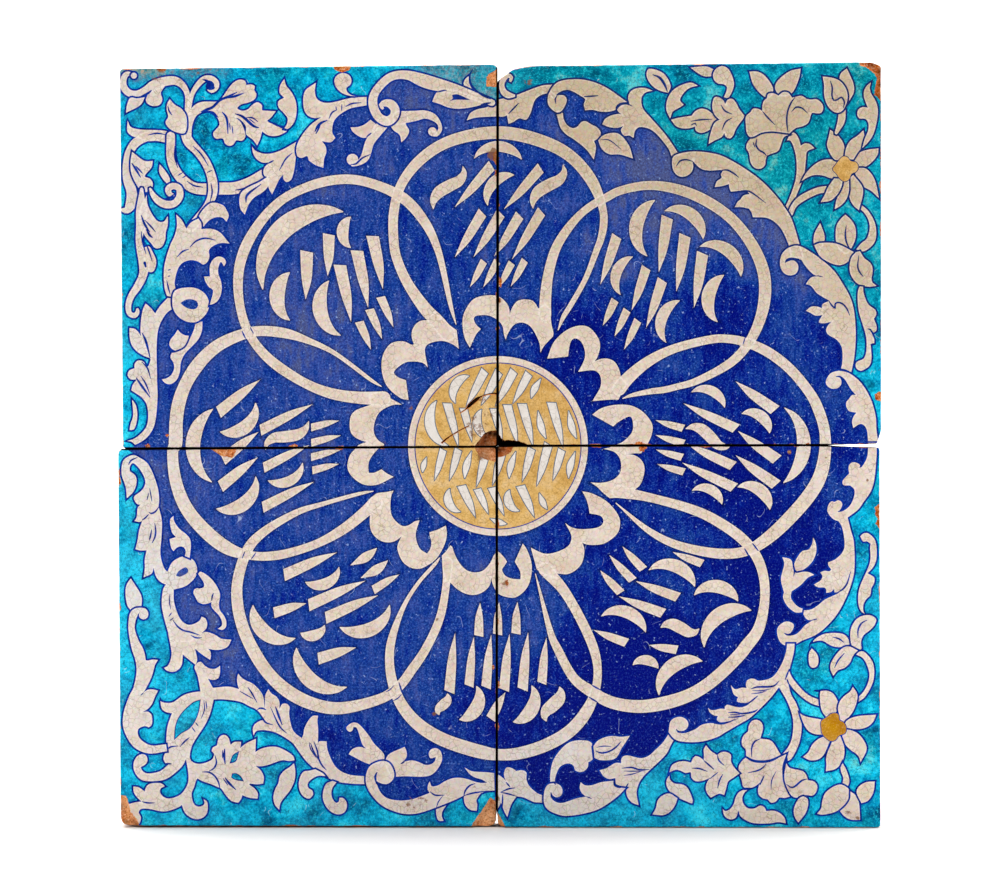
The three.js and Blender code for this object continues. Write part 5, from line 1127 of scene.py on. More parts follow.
paint("cream", 0, (0, 0), stroke([(-39.6, -92.8, 8), (-40.2, -108, 6), (-45.6, -137.2, 6.5),
      (-57.6, -163.2, 7), (-68.8, -179.6, 7.5), (-74.8, -188), (-83.2, -196, 8), (-92.8, -201.4),
      (-125.6, -209, 9.5), (-146, -205.8, 10), (-164.8, -196.8, 10.5), (-180.8, -182.8, 10), (-193, -165.2),
      (-202, -146, 9.5), (-206.8, -126, 9), (-206.6, -107.2, 8.5), (-198, -81.2, 8), (-186.8, -69.2, 7),
      (-158.8, -52.6, 5), (-139, -46.2, 3.5), (-107, -37.4, 2.4), (-98.4, -36, 0.6)]), shape([(-44, -87.4),
      (-40.8, -84.2)], [(-37.2, -79.2), (-36, -80), (-33.4, -87), (-29, -94.4), (-23.8, -99.2),
      (-17.4, -100.8), (-11, -99.2), (-5.6, -93.4), (-2.4, -87)], [(-0.4, -84.6), (0.8, -84.2), (5, -88)],
      [(8, -92.2), (5.6, -96), (4, -98.4), (6.2, -103), (11.4, -105.6)], [(18.7, -106.3), (18.7, -100.8)],
      [(14.2, -92.2)], [(20.6, -77.8), (23.8, -82.6), (27.7, -95.4), (24.8, -111.4), (16.2, -120),
      (10.4, -120.8), (0.8, -117.4), (-4, -108.2)], [(-4.6, -104.6), (-5.6, -110.4), (-8.8, -114.6),
      (-14.2, -117.8), (-19.4, -118.7), (-25.8, -117.4), (-32.2, -113.6)], [(-36.8, -109.2)],
      [(-40.8, -107.2), (-43, -96.6)]))
paint("cream", 0, (0, 0), stroke([(-96.8, -44.8, 10.5), (-104.8, -52.2, 9), (-122.4, -66.2, 8),
      (-144.4, -78.2, 6.5), (-176, -87.2, 7), (-197.6, -87), (-217.6, -79.8, 10.5), (-245.2, -53.2),
      (-255.8, -28.8, 9.5), (-258.2, -2.4, 9), (-256.6, 0.4, 10.5), (-255.6, 20.8), (-253.4, 34.8),
      (-248.4, 48.8, 10), (-240.4, 62.2, 10.5), (-230.4, 73.6, 10), (-218.4, 82.4, 9.5), (-193.6, 91.2, 8),
      (-169.6, 90), (-149.6, 83.6, 5), (-130.4, 74.6, 3.5), (-98.4, 51.2, 2.4), (-92, 47.4, 0.6)]),
      shape([(-82.4, -35.5), (-84.3, -40), (-84, -55), (-77, -63), (-73.4, -64), (-69, -62.4),
      (-65.8, -60.2)], [(-61.8, -59.2), (-64.8, -71), (-61.6, -81.6)], [(-55.8, -85.8), (-53, -81.6),
      (-52.3, -76.2), (-53.6, -71.4)], [(-53.8, -68.8), (-47.2, -66.6)], [(-40.8, -63.4), (-40, -69.8),
      (-41.4, -77.4), (-48.8, -90.2), (-60, -97.4), (-65.4, -97.8), (-70.6, -96), (-75.4, -91.8),
      (-79.4, -81.6), (-78.6, -77.4)], [(-76, -72), (-81.4, -75.8), (-86.6, -76.8), (-92, -75.8),
      (-97.4, -72), (-100.6, -66.6), (-101, -55)], [(-99, -51.8)], [(-103.2, -47.2), (-98.4, -39.4),
      (-95.2, -37.6), (-88.8, -36.8)]))
paint("cream", 0, (0, 0), stroke([(-90.4, 38, 11), (-111.2, 38.6, 9.5), (-131.6, 41.8, 8.5),
      (-150.4, 48.8, 7.5), (-174, 63.2, 8), (-185.6, 73.2, 7.5), (-194.8, 84.8, 7), (-201.4, 98.4),
      (-205, 112.8), (-206.4, 128, 7.5), (-205.2, 143.2, 8), (-200.8, 157.6, 8.5), (-192.8, 172.4, 8),
      (-181.6, 186.8, 7.5), (-168, 198.4, 7), (-141.6, 209.6, 7.5), (-117.6, 212.6), (-95.6, 207.8),
      (-73.2, 196.4, 8.5), (-56.8, 177.2, 7.5), (-47.2, 156.4, 5.5), (-36.4, 110, 3), (-32.6, 96.8, 0.6)]),
      shape([(-91, 43.8), (-87.8, 40)], [(-76, 33), (-83.4, 32.6), (-94.2, 26.2), (-98.4, 13.8),
      (-97.4, 8.6), (-94.2, 4.2), (-89.8, 1), (-94.6, -2.2), (-101.6, -11.2), (-102.6, -16.6)],
      [(-102.2, -21.4), (-98.4, -21.4)], [(-92, -18.6), (-87.8, -21.8)], [(-82.4, -24.6), (-96.2, -31),
      (-107, -30.4), (-116.6, -23), (-119.2, -16.6), (-117, -7), (-113.8, -3.2), (-110.6, 0.6)],
      [(-103.8, 3.2), (-109, 4.8), (-114.4, 8), (-117, 12.8), (-116.6, 23.4), (-113.4, 27.8)],
      [(-100.4, 33)], [(-101.6, 40.8)]))

# Where one ring passes under the next, the cobalt parts them in a thin line.
draw((0, 0), 1, [(-88.8, -196), (-85.6, -194.4), (-82, -190.8)], [(-83.2, -203.2), (-79.2, -201.2),
     (-76, -198)], [(196, 80.8), (198, 86.8)], [(-196.8, 94.8), (-194, 89.6)], [(-200.8, -84),
     (-203.2, -89.6)], [(-196, -90.4), (-192, -84.8)])
draw((0, 0), 1.4, [(203.6, -77.6), (208.4, -83.6)], [(197.2, -81.6), (201.2, -88.4)], [(75.6, -190.6),
     (82.4, -194.4)], [(73.2, -200), (80.6, -204.6)], [(-78.2, -188.4), (-75.4, -197.2)], [(-203.2, 91.6),
     (-200.4, 85.6)])

# The medallion: a round of slip inside the collar, a thin outline, and the ochre ground within it.
paint("cream", 0, (0, 0), disc(0.8, 0, 71.6))
paint("ochre", 0.8, (0, 0), disc(0.8, 0, 65.8))
# Each ring holds rows of plain brush strokes in cream slip. The rows lie across the way out from the
# centre, and all strokes of a row lean alike.
CENTRE_X = 0.8
FORMS = {
    # points along a stroke, beside it and its width, as shares of the stroke's length, length and width
    "crescent": [(-0.5, -0.1, 0.05), (-0.4, 0.05, 0.5), (-0.22, 0.18, 0.9), (0.03, 0.22, 1.1),
                 (0.26, 0.14, 0.95), (0.42, 0, 0.5), (0.5, -0.12, 0.05)],
    "wave": [(-0.5, -0.06, 0.05), (-0.38, 0.06, 0.6), (-0.2, 0.1, 1), (0.05, 0, 1.05), (0.25, -0.1, 0.9),
             (0.42, -0.06, 0.5), (0.5, 0.06, 0.05)],
    "flick": [(-0.5, 0, 0.05), (-0.25, 0.05, 0.75), (0, 0.06, 1), (0.5, 0, 0.05)],
}
# For each ring, clockwise from the top, its rows: distance from the centre, forms of the strokes, length,
# width, lean in degrees and pitch.
RINGS = [
    [(232, "c", 62, 10, 90, 0), (137, "bbbb", 24, 6.5, 26, 11), (168, "cbbbbc", 46, 9, 30, 15.5),
     (206, "wbcbw", 44, 9, 40, 20)],
    [(232, "cc", 42, 9, 80, 42), (138, "bbb", 25, 7, -22, 13), (168, "bcbbcb", 44, 9, -28, 17),
     (207, "cbbbc", 44, 10, -38, 20)],
    [(233, "c", 64, 10, 90, 0), (137, "bbbb", 24, 6.5, 14, 11.5), (168, "cbwbbc", 46, 9, 24, 15.5),
     (206, "bcbbc", 42, 10, 34, 20)],
    [(229, "cc", 50, 11, -84, 54), (139, "bbb", 27, 7.5, 0, 13), (170, "bcbbcb", 44, 9.5, -26, 17.5),
     (206, "cbwbc", 36, 9.5, -38, 20)],
    [(229, "c", 86, 14, 90, 0), (138, "bbb", 26, 8, 0, 15), (172, "bbbbbb", 50, 9, 4, 14.5),
     (206, "wcbcw", 32, 10, 26, 22)],
    [(229, "cc", 50, 11, 82, 52), (139, "bff", 27, 7.5, 12, 13), (173, "bcbbcb", 48, 10, 20, 16),
     (208, "bcb", 34, 10, 26, 26)],
    [(232, "c", 64, 10.5, 90, 0), (137, "bbbb", 24, 6.5, -16, 11.5), (168, "bcbwbc", 46, 9, -28, 15.5),
     (206, "cbbcb", 42, 10, -40, 20)],
    [(227, "c", 92, 15, 90, 0), (138, "bbb", 26, 7.5, 20, 13), (171, "bcbbb", 48, 10.5, 32, 18),
     (204, "cbbc", 40, 11, 44, 24)],
]
CLEARANCE = 1.6
SHORTEST = 0.55
brush = random.Random(11)


def brushed(kind, x, z, length, width, lean):
    """A stroke about one point; lean is its turn clockwise from upright. A bar has a slanting cut end."""
    def place(along, beside):
        return (x + along * math.sin(lean) - beside * math.cos(lean),
                z + along * math.cos(lean) + beside * math.sin(lean))

    if kind == "b":
        tip = [place(-0.5 * length, 0.1 * width), place(-0.1 * length, -0.34 * width)]
        cut = [place(0.46 * length, -0.5 * width)]
        side = [place(0.52 * length, 0.42 * width), place(-0.05 * length, 0.36 * width)]
        return shape(tip, cut, side)
    form = next(points for name, points in FORMS.items() if name.startswith(kind))
    return stroke([(*place(along * length, beside * length * 0.8), width * share)
                   for along, beside, share in form])


def fitted(gap, kind, x, z, length, width, lean):
    """The stroke, made smaller until it stands clear of all that is painted round it, or left out."""
    laid = np.vstack([points for colour, points in painting if colour in ("cream", "white", "ochre")])
    laid = laid[np.hypot(laid[:, 0] - x, laid[:, 1] - z) < 0.6 * length + 8]
    shortest = SHORTEST * length
    while length > shortest:
        points = brushed(kind, x, z, length, width, lean)
        if np.hypot(*(points[:, None] - laid).T).min(initial=gap) >= gap:
            return [points]
        length *= 0.97
        width *= 0.985
    return []


for index, rows in enumerate(RINGS):
    turn = math.radians(45 * index)
    for out, forms, length, width, lean, pitch in rows:
        for k, form in enumerate(forms):
            across = (k - (len(forms) - 1) / 2) * pitch + brush.uniform(-0.6, 0.6)
            u = out + brush.uniform(-1, 1)
            x = CENTRE_X + u * math.sin(turn) + across * math.cos(turn)
            z = u * math.cos(turn) - across * math.sin(turn)
            size = length * brush.uniform(0.9, 1.04)
            fit = fitted(CLEARANCE, form, x, z, size, width, math.radians(lean) + turn)
            paint("cream", 0, (0, 0), *fit)

# The ochre of the medallion and of the two open flowers: an iron glaze over the slip, thin and tan in
# most places, and a rich orange-yellow where it lies thick (rich).
ochre = new_material("ochre_glaze")
place = add(ochre, "TexCoord", {}).outputs["Object"]
clouds = add(ochre, "TexNoise", {}, place, Scale=65, Detail=6, Roughness=0.65)
thin = add(ochre, "ValToRGB", {"stops": [(0.3, "#bb8c44"), (0.5, "#d6ac66"), (0.7, "#dec298")]}, clouds)
thick = add(ochre, "ValToRGB", {"stops": [(0.3, "#8c5400"), (0.5, "#ae7200"), (0.7, "#c28c00")]}, clouds)
rich = add(ochre, "Attribute", {"attribute_name": "rich"})
ground = add(ochre, "Mix", {"data_type": "RGBA"}, rich, thin, thick)
grain = add(ochre, "TexNoise", {}, place, Scale=600, Detail=2, Roughness=0.8)
dark_grain = add(ochre, "MapRange", {}, grain, 0.48, 0.28, 0, 0.5)
ground = add(ochre, "Mix", {"data_type": "RGBA"}, dark_grain, ground, "#7c5018")
bubbles = add(ochre, "MapRange", {}, grain, 0.54, 0.76, 0, 0.5)
ground = add(ochre, "Mix", {"data_type": "RGBA"}, bubbles, ground, "#ecce90")
glaze(ochre, place, ground, "#8a6020", 0.4)
MATERIALS["ochre"] = ochre

# The medallion holds rows of such strokes too, thickly laid in whiter slip, each with a thin grey-blue
# outline on the ochre.
white = new_material("white_slip_under_clear_glaze")
place = add(white, "TexCoord", {}).outputs["Object"]
clouds = add(white, "TexNoise", {}, place, Scale=75, Detail=5, Roughness=0.6)
slip_colour = add(white, "ValToRGB", {"stops": [(0.3, "#d2c8be"), (0.7, "#e4deda")]}, clouds)
pits = add(white, "TexNoise", {}, place, Scale=400, Detail=3, Roughness=0.8)
pits = add(white, "MapRange", {}, pits, 0.6, 0.75, 0, 0.5)
slip_colour = add(white, "Mix", {"data_type": "RGBA"}, pits, slip_colour, "#b09a80")
glaze(white, place, slip_colour, "#86705a", 0.4)
MATERIALS["white"] = white
grey = new_material("grey_blue_outline")
place = add(grey, "TexCoord", {}).outputs["Object"]
clouds = add(grey, "TexNoise", {}, place, Scale=200, Detail=4, Roughness=0.7)
line_colour = add(grey, "ValToRGB", {"stops": [(0.35, "#2c4260"), (0.65, "#62788c")]}, clouds)
glaze(grey, place, line_colour, "#203040", 0.2)
MATERIALS["grey"] = grey

MEDALLION_ROWS = [
    # height, forms, length, width, lean, pitch
    (46, "bcbbbbcb", 32, 7.2, 26, 12), (17, "bcbbcbbbcbb", 38, 7.2, -16, 11.8),
    (-15, "bbbcbbcbbbb", 36, 7.2, 14, 11.8), (-44, "bcbbbcbbb", 30, 7.2, -26, 12),
    (-60, "bcb", 22, 6.5, -72, 20),
]
for height, forms, length, width, lean, pitch in MEDALLION_ROWS:
    for k, form in enumerate(forms):
        x = CENTRE_X + (k - (len(forms) - 1) / 2) * pitch + brush.uniform(-0.6, 0.6)
        size = length * brush.uniform(0.9, 1.04)
        fit = fitted(2, form, x, height, size, width, math.radians(lean))
        fit = fit or fitted(2, "f", x, height, 0.6 * size, 0.7 * width, math.radians(lean))
        paint("grey", 0, (0, 0), *(grown(points, 0.7) for points in fit))
        paint("white", 0, (0, 0), *fit)

# Two cracks run through the medallion from the break. Their lips are broken down to the clay, and they
# hold black dirt.
# this near-black also lies along the joints, as painted shade
crack_dirt_and_joint_shade = new_material("dirt_in_the_cracks_and_shade_in_the_joints")
place = add(crack_dirt_and_joint_shade, "TexCoord", {}).outputs["Object"]
clods = add(crack_dirt_and_joint_shade, "TexNoise", {}, place, Scale=500, Detail=3)
crumbs = add(crack_dirt_and_joint_shade, "ValToRGB", {"stops": [(0.4, "#080503"), (0.65, "#22130a")]}, clods)
lumps = add(crack_dirt_and_joint_shade, "Bump", {}, Height=clods, Strength=0.4, Distance=0.0005)
surface = add(crack_dirt_and_joint_shade, "BsdfPrincipled", {}, crumbs, Roughness=0.95, Specular_IOR_Level=0,
              Normal=lumps)
add(crack_dirt_and_joint_shade, "OutputMaterial", {}, surface)
MATERIALS["crack_dirt_and_joint_shade"] = crack_dirt_and_joint_shade
CRACKS = [
    [(0, 42, 1.1), (-4, 42, 1), (-9, 41, 0.5), (-13, 39.4, 0.8), (-15.5, 37.8, 2.4), (-19, 35, 2.6),
     (-22.6, 31.6, 2.2), (-23.6, 30.4, 0.9), (-29, 26.6, 0.4)],
    [(-22, 16.6, 0.3), (-30, 12.4, 0.6), (-35, 9.4, 0.5), (-40, 6, 0.9), (-44, 2.6, 0.9)],
]
for crack in CRACKS:
    paint("clay", 0, (0, 0), stroke([(x - 0.3, z - 0.4, width + 0.7) for x, z, width in crack]))
    paint("crack_dirt_and_joint_shade", 0, (0, 0), stroke(crack))

# The glazed tiles themselves. Each face is cut along every outline of the painting, so that the colours
# meet in clean edges, and its arrises are rounded, rubbed and chipped down to the clay. Below the glaze the
# rough sides swell, so that two neighbours meet inside a joint, except where the level joint gapes
# at its right-hand end and the upright one at its foot. The joints are painted black: painted shade.
COLOURS = list(MATERIALS)
NET_SPACING = 3.6
SLIP_EDGE = 0.9
JOINT_REACH = 2.2
SWELL = 1.15
GAPE_RIGHT = 285
GAPE_BELOW = -297
SIDE_SOIL = 0.75
# Soft marks on the glaze, each its place, reach and strength: soil in the break and along it, age where
# the slip has yellowed and the turquoise dulled, pale where the turquoise ran thin, worn where its gloss has
# gone, rich where the ochre is thick, fresh where bare clay is still red and faded where it is pale, and
# painted shade in the hollows of the break and at the rims of the broken corners.
MARKS = {
    "soil": [
        (-16, 14, 20, 0.62), (-34, 8, 12, 0.45), (-6, 26, 14, 0.5), (-12, 38, 8, 0.6), (8, 12, 7, 0.6),
        (-12, -9, 7, 0.8), (16, -7, 6, 0.4), (-4, 232, 6, 0.9), (-270, 299, 16, 0.6),
        (-235, 300, 16, 0.55), (-190, 301, 16, 0.4), (-68, -285, 9, 0.7), (-60, -281, 8, 0.6),
        (-50, -213.6, 3, 0.9), (-47.6, -138.4, 3, 0.8), (6.4, -109.6, 3, 0.8), (-68, 30.4, 3.5, 0.8),
        (-89.6, 3.2, 3.5, 0.7), (232.8, -4.8, 2.4, 0.9), (261.6, -8.8, 3.5, 0.7), (295.2, -27.2, 1.6, 1),
        (24, 291, 6, 0.8), (279.2, -292, 3, 0.9), (287.2, -296.8, 2.5, 0.9), (0.8, -281.6, 3, 0.9),
        (-234, 2.4, 16, 0.35), (-3, 236, 3, 1), (1.6, 116, 3, 0.9),
    ],
    # painted shade, darkening the clay in the hollows of the break and at the broken corners
    "shade": [
        (-9, 10.5, 2.2, 0.95), (-5.5, 10.4, 2.8, 1), (-1.5, 9.5, 3.4, 1), (-9.2, 7, 1.3, 0.9),
        (-9, 4, 1.1, 0.7), (-16, 2, 2, 0.6), (1.5, -3, 2.8, 0.9), (5, -2.6, 2, 0.7), (-3, -2, 1.6, 0.5),
        (-7, 5, 9, 0.25), (300, 304.5, 3, 0.5), (305.6, 299, 2.4, 0.7), (305.6, 288, 2.2, 0.6),
        (304, 278, 2.6, 0.6), (-300, -288, 2.4, 0.5), (-296, -300, 2.4, 0.6), (-288, -302, 2, 0.5),
    ],
    "faded": [
        (-294, -285, 9, 0.75), (-290, -296, 9, 0.5), (-10, -294, 14, 0.8), (3, -298, 6, 0.8),
        (-4, 293, 8, 0.45), (-9, -6, 8, 0.7), (7, -6, 3, 0.6), (232.8, -4.8, 4, 0.9), (-218, -5, 8, 0.2),
    ],
    "fresh": [
        (-12, 4, 11, 0.65), (6, -5, 8, 0.6), (301, 296, 9, 0.35), (303, 284, 6, 0.4),
        (306, 206, 8, 0.4), (306, 172, 7, 0.4), (305, -56, 9, 0.35), (0, 223, 10, 0.3),
    ],
    "worn": [
        *((x, 300, 6.5, 0.8) for x in range(-298, -264, 5)),
        *((x, 300, 6, 0.3) for x in range(-262, -220, 5)), (-34, 290, 30, 0.35), (-8, 278, 14, 0.3),
    ],
    "age": [
        (60, 270, 90, 1), (150, 230, 90, 1), (240, 230, 110, 1), (290, 140, 55, 0.8), (200, 160, 60, 0.7),
        (40, 200, 60, 0.7), (-10, 250, 50, 0.5), (290, 290, 60, 1), (100, 140, 60, 0.5),
    ],
    "pale": [
        (-296, 200, 40, 0.5), (-296, 80, 50, 0.7), (-294, -20, 50, 0.8), (-285, -110, 60, 1),
        (-290, -200, 50, 0.6), (-240, -290, 50, 0.4), (-160, -280, 60, 0.4), (300, -140, 50, 0.3),
        (-260, -230, 60, 0.5), (-250, 170, 40, 0.3), (-297, 280, 30, 0.5), (40, -270, 60, 0.7),
        (130, -275, 60, 0.45), (-60, -290, 40, 0.3), (230, 30, 60, 0.35),
    ],
    "rich": [
        (268, -223, 30, 1), (46, 36, 38, 0.22), (55, -10, 30, 0.15),
        (278, 223, 16, 0.25),
    ],
}


def tile_edge(corners):
    """The tile's outline, its corners rounded by curves that touch both sides, and uneven as cut clay is."""
    points = []
    for i, (x, z, radius) in enumerate(corners):
        corner = np.array((x, z), float)
        sides = []
        for j in (i - 1, (i + 1) % len(corners)):
            way = np.array(corners[j][:2], float) - corner
            sides.append(corner + way / np.hypot(*way) * radius)
        for t in np.linspace(0, 1, 7):
            points.append((1 - t) ** 2 * sides[0] + 2 * t * (1 - t) * corner + t * t * sides[1])
    even = []
    for a, b in zip(points, points[1:] + points[:1]):
        count = max(1, round(np.hypot(*(b - a)) / 2))
        even += [a + (b - a) * k / count for k in range(count)]
    even = np.array(even)
    uneven = [noise.noise(Vector((x * 0.09, z * 0.09, 7))) * 0.35 for x, z in even]
    return even - (grown(even, 1) - even) * np.abs(uneven)[:, None]


def inside(places, points):
    """Which of the places lie inside a closed outline, by how often it winds round them."""
    near = np.flatnonzero(np.all((places >= points.min(0)) & (places <= points.max(0)), axis=1))
    result = np.zeros(len(places), bool)
    x, z = places[near].T
    winding = np.zeros(len(near), int)
    for (ax, az), (bx, bz) in zip(points, np.roll(points, -1, axis=0)):
        crossing = (az <= z) != (bz <= z)
        side = (bx - ax) * (z - az) - (x - ax) * (bz - az)
        winding += np.where(crossing & (bz > az) & (side > 0), 1, 0)
        winding -= np.where(crossing & (bz < az) & (side < 0), 1, 0)
    result[near] = winding != 0
    return result


def distance(places, points, closed=True):
    """How far each place is from a line of points."""
    ends = np.roll(points, -1, axis=0) if closed else points[1:]
    best = np.full(len(places), 1e9)
    for a, b in zip(points, ends):
        way = b - a
        along = np.clip(((places - a) @ way) / max(way @ way, 1e-12), 0, 1)
        best = np.minimum(best, np.hypot(*(places - a - along[:, None] * way).T))
    return best


def strength(flat, spots):
    """How strongly the spots mark each place: the strongest of them counts."""
    result = np.zeros(len(flat))
    for x, z, reach, value in spots:
        away = (flat[:, 0] - x) ** 2 + (flat[:, 1] - z) ** 2
        result = np.maximum(result, value * np.exp(-away / reach**2))
    return result


def broken(line):
    """The line of a break, as ragged as coarse clay breaks."""
    result = []
    for (ax, az), (bx, bz) in zip(line, line[1:]):
        count = max(1, round(math.hypot(bx - ax, bz - az) / 0.9))
        for k in range(count):
            x, z = ax + (bx - ax) * k / count, az + (bz - az) * k / count
            aside = noise.noise(Vector((x, z, 0.5)))
            result.append((x + 0.7 * aside, z + 0.7 * noise.noise(Vector((x, z, 9.5)))))
    return [*result, line[-1]]


def ragged(x, z, half_width, half_height):
    """The outline of a small nick."""
    turn = np.linspace(0, 2 * math.pi, 18, endpoint=False)
    reach = [noise.noise(Vector((x + 2 * math.cos(t), z + 2 * math.sin(t), 5))) for t in turn]
    reach = 1 + 0.8 * np.array(reach)
    return np.c_[x + half_width * reach * np.cos(turn), z + half_height * reach * np.sin(turn)]


def joint_heights(x):
    """Where the middle of the level joint runs."""
    return np.interp(x, (-302, 0, 0.1, 255, 306), (-2.2, -0.5, 0.1, 0.7, 0.2))


def joint_places(z):
    """Where the middle of the upright joint runs."""
    return np.where(np.asarray(z) > 0, 0.5, -0.15)


def from_joint(places):
    x, z = places.T
    return np.minimum(abs(x - joint_places(z)), abs(z - joint_heights(x)))


for name, corners in TILES.items():
    edge = tile_edge(corners)
    low, high = edge.min(0) - 1, edge.max(0) + 1
    spread = random.Random(name)
    chips = [(np.array(broken(line) + outside, float), np.array(broken(line), float), depth, slope)
             for line, outside, depth, slope in CHIPS[name]]
    nicks = [ragged(*nick) for nick in NICKS]

    # lines that the mesh keeps as edges
    rings = [edge, *(grown(edge, -step) for step in (0.1, 0.35, 0.75, EDGE_ROUND))]
    rings += [points for _, points in painting] + [chip[0] for chip in chips] + nicks
    places, lines = [], []
    for points in rings:
        near = np.all((points > low) & (points < high), axis=1)
        if near.any():
            first = len(places)
            places.extend(points)
            follows = (np.arange(len(points)) + 1) % len(points)
            lines += [(first + i, first + j) for i, j in enumerate(follows) if near[i] or near[j]]

    # free points: a loose net over the face, a finer one in the chips, and rows beside the slip
    nets = [(low, high, NET_SPACING, 1)]
    nets += [(np.maximum(c[0].min(0), low), np.minimum(c[0].max(0), high), 0.8, 0.25) for c in chips]
    nets += [(n.min(0) - 0.5, n.max(0) + 0.5, 0.7, 0.2) for n in nicks]
    nets += [((x - reach, z - reach), (x + reach, z + reach), reach / 2.5, reach / 12)
             for x, z, reach, _ in MARKS["soil"] if reach < 5]
    for start, end, spacing, shake in nets:
        for x in np.arange(start[0], end[0], spacing):
            for z in np.arange(start[1], end[1], spacing):
                place = (x + spread.uniform(-shake, shake), z + spread.uniform(-shake, shake))
                if low[0] < place[0] < high[0] and low[1] < place[1] < high[1]:
                    places.append(place)
    for colour, points in painting:
        if colour in ("cream", "white"):
            for reach, every in ((-SLIP_EDGE, 2), (SLIP_EDGE, 2), (2.2, 3), (4.2, 3)):
                beside = grown(points, reach)[::every]
                places.extend(beside[np.all((beside > low) & (beside < high), axis=1)])
    found, _, faces, _, _, _ = geometry.delaunay_2d_cdt([Vector(p) for p in places], lines, [], 0, 0.02)
    flat = np.array([tuple(p) for p in found])
    faces = np.array([tuple(f) for f in faces if len(f) == 3])
    middles = flat[faces].mean(1)
    kept = inside(middles, edge)
    faces, middles = faces[kept], middles[kept]
    colours = np.full(len(faces), COLOURS.index("cobalt"))
    for colour, points in painting:
        colours[inside(middles, points)] = COLOURS.index(colour)

    # the rounded arris, the chips with their rough floors, and the nicks
    rounding = EDGE_ROUND - np.minimum(distance(flat, edge), EDGE_ROUND)
    height = EDGE_ROUND - np.sqrt(np.maximum(EDGE_ROUND**2 - rounding**2, 0))
    rough = np.array([noise.fractal(Vector((x * 0.35, z * 0.35, 3)), 0.8, 2, 4) for x, z in flat])
    shade = np.zeros(len(flat))
    for region, line, depth, slope in chips:
        within = np.flatnonzero(inside(flat, region))
        into = distance(flat[within], line, closed=False)
        cut = depth * np.minimum(into / slope, 1) * (0.85 + 0.3 * rough[within])
        height[within] = np.maximum(height[within], cut)
        # a deep break darkens towards its floor with painted shade
        if depth > 6:
            shade[within] = np.minimum(cut / 2.5, 1)
        colours[inside(middles, region)] = COLOURS.index("clay")
    for points in nicks:
        within = np.flatnonzero(inside(flat, points))
        height[within] += np.minimum(distance(flat[within], points), 0.6) * (1 + rough[within])
        colours[inside(middles, points)] = COLOURS.index("clay")
    # the glaze is rubbed off along some stretches of the arrises
    rubbed = [1.2 * noise.fractal(Vector((x * 0.07, z * 0.07, 1)), 0.7, 2, 5) for x, z in middles]
    colours[distance(middles, edge) < rubbed] = COLOURS.index("clay")
    # and painted black along the joints, on the glaze and on the clay of the arris: painted shade
    joint_shade_band = [0.34 + 0.2 * noise.noise(Vector((x * 0.08, z * 0.08, 8))) for x, z in middles]
    colours[(from_joint(middles) < JOINT_REACH) & (distance(middles, edge) < joint_shade_band)] = COLOURS.index("crack_dirt_and_joint_shade")
    shade[(from_joint(flat) < JOINT_REACH) & (distance(flat, edge) < 0.3)] = 1

    # how near each point is to the slip, for the ground that pools and bleeds beside it
    drawn = np.vstack([points for colour, points in painting if colour in ("cream", "white")])
    drawn = drawn[np.all((drawn > low - 6) & (drawn < high + 6), axis=1)]
    tree = kdtree.KDTree(len(drawn))
    for i, (x, z) in enumerate(drawn):
        tree.insert((x, z, 0), i)
    tree.balance()
    away = np.array([tree.find((x, z, 0))[2] for x, z in flat])
    # the cobalt's tone from its clouds, with the painted sheen towards the top
    tone, weight = np.full(len(flat), 0.5), np.ones(len(flat))
    for x, z, reach, value in TONES_AND_SHEEN:
        near = 3 * np.exp(-((flat[:, 0] - x) ** 2 + (flat[:, 1] - z) ** 2) / (0.6 * reach) ** 2)
        tone += near * value
        weight += near
    shades = {mark: strength(flat, spots) for mark, spots in MARKS.items()}
    shades |= {"tone": tone / weight, "halo": np.maximum(1 - away / 3.2, 0) ** 1.5,
               "edge": np.maximum(1 - away / SLIP_EDGE, 0), "shade": np.maximum(shades["shade"], shade)}

    form = bmesh.new()
    layers = {shade: form.verts.layers.float.new(shade) for shade in shades}
    corner_of = {}
    for i in np.unique(faces):
        corner_of[i] = form.verts.new((flat[i, 0], -THICKNESS + height[i], flat[i, 1]))
        for mark, layer in layers.items():
            corner_of[i][layer] = float(shades[mark][i])
    for triangle, colour in zip(faces, colours):
        face = form.faces.new([corner_of[i] for i in triangle])
        face.material_index = int(colour)
        face.smooth = True

    # the sides go back in steps from the arris, and lean into the joints on the way
    middle = Vector((edge.mean(0)[0], 0, edge.mean(0)[1]))
    rim = [e for e in form.edges if e.is_boundary]
    for y, inset in ((-THICKNESS + 5, 0), (-THICKNESS + 8, 0), (-4, 0), (-EDGE_ROUND, 0), (-0.35, 0.25),
                     (0, 0.6)):
        wall = bmesh.ops.extrude_edge_only(form, edges=rim)["geom"]
        for v in wall:
            if isinstance(v, bmesh.types.BMVert):
                for layer in layers.values():
                    v[layer] = 0
                v[layers["soil"]] = SIDE_SOIL
                swell = SWELL * np.clip(min((GAPE_RIGHT - v.co.x) / 30, (v.co.z - GAPE_BELOW) / 8), 0.1, 1)
                joints = ((0, float(joint_places(v.co.z))), (2, float(joint_heights(v.co.x))))
                for axis, joint in joints:
                    off = joint - v.co[axis]
                    if abs(off) < JOINT_REACH and y < -4:
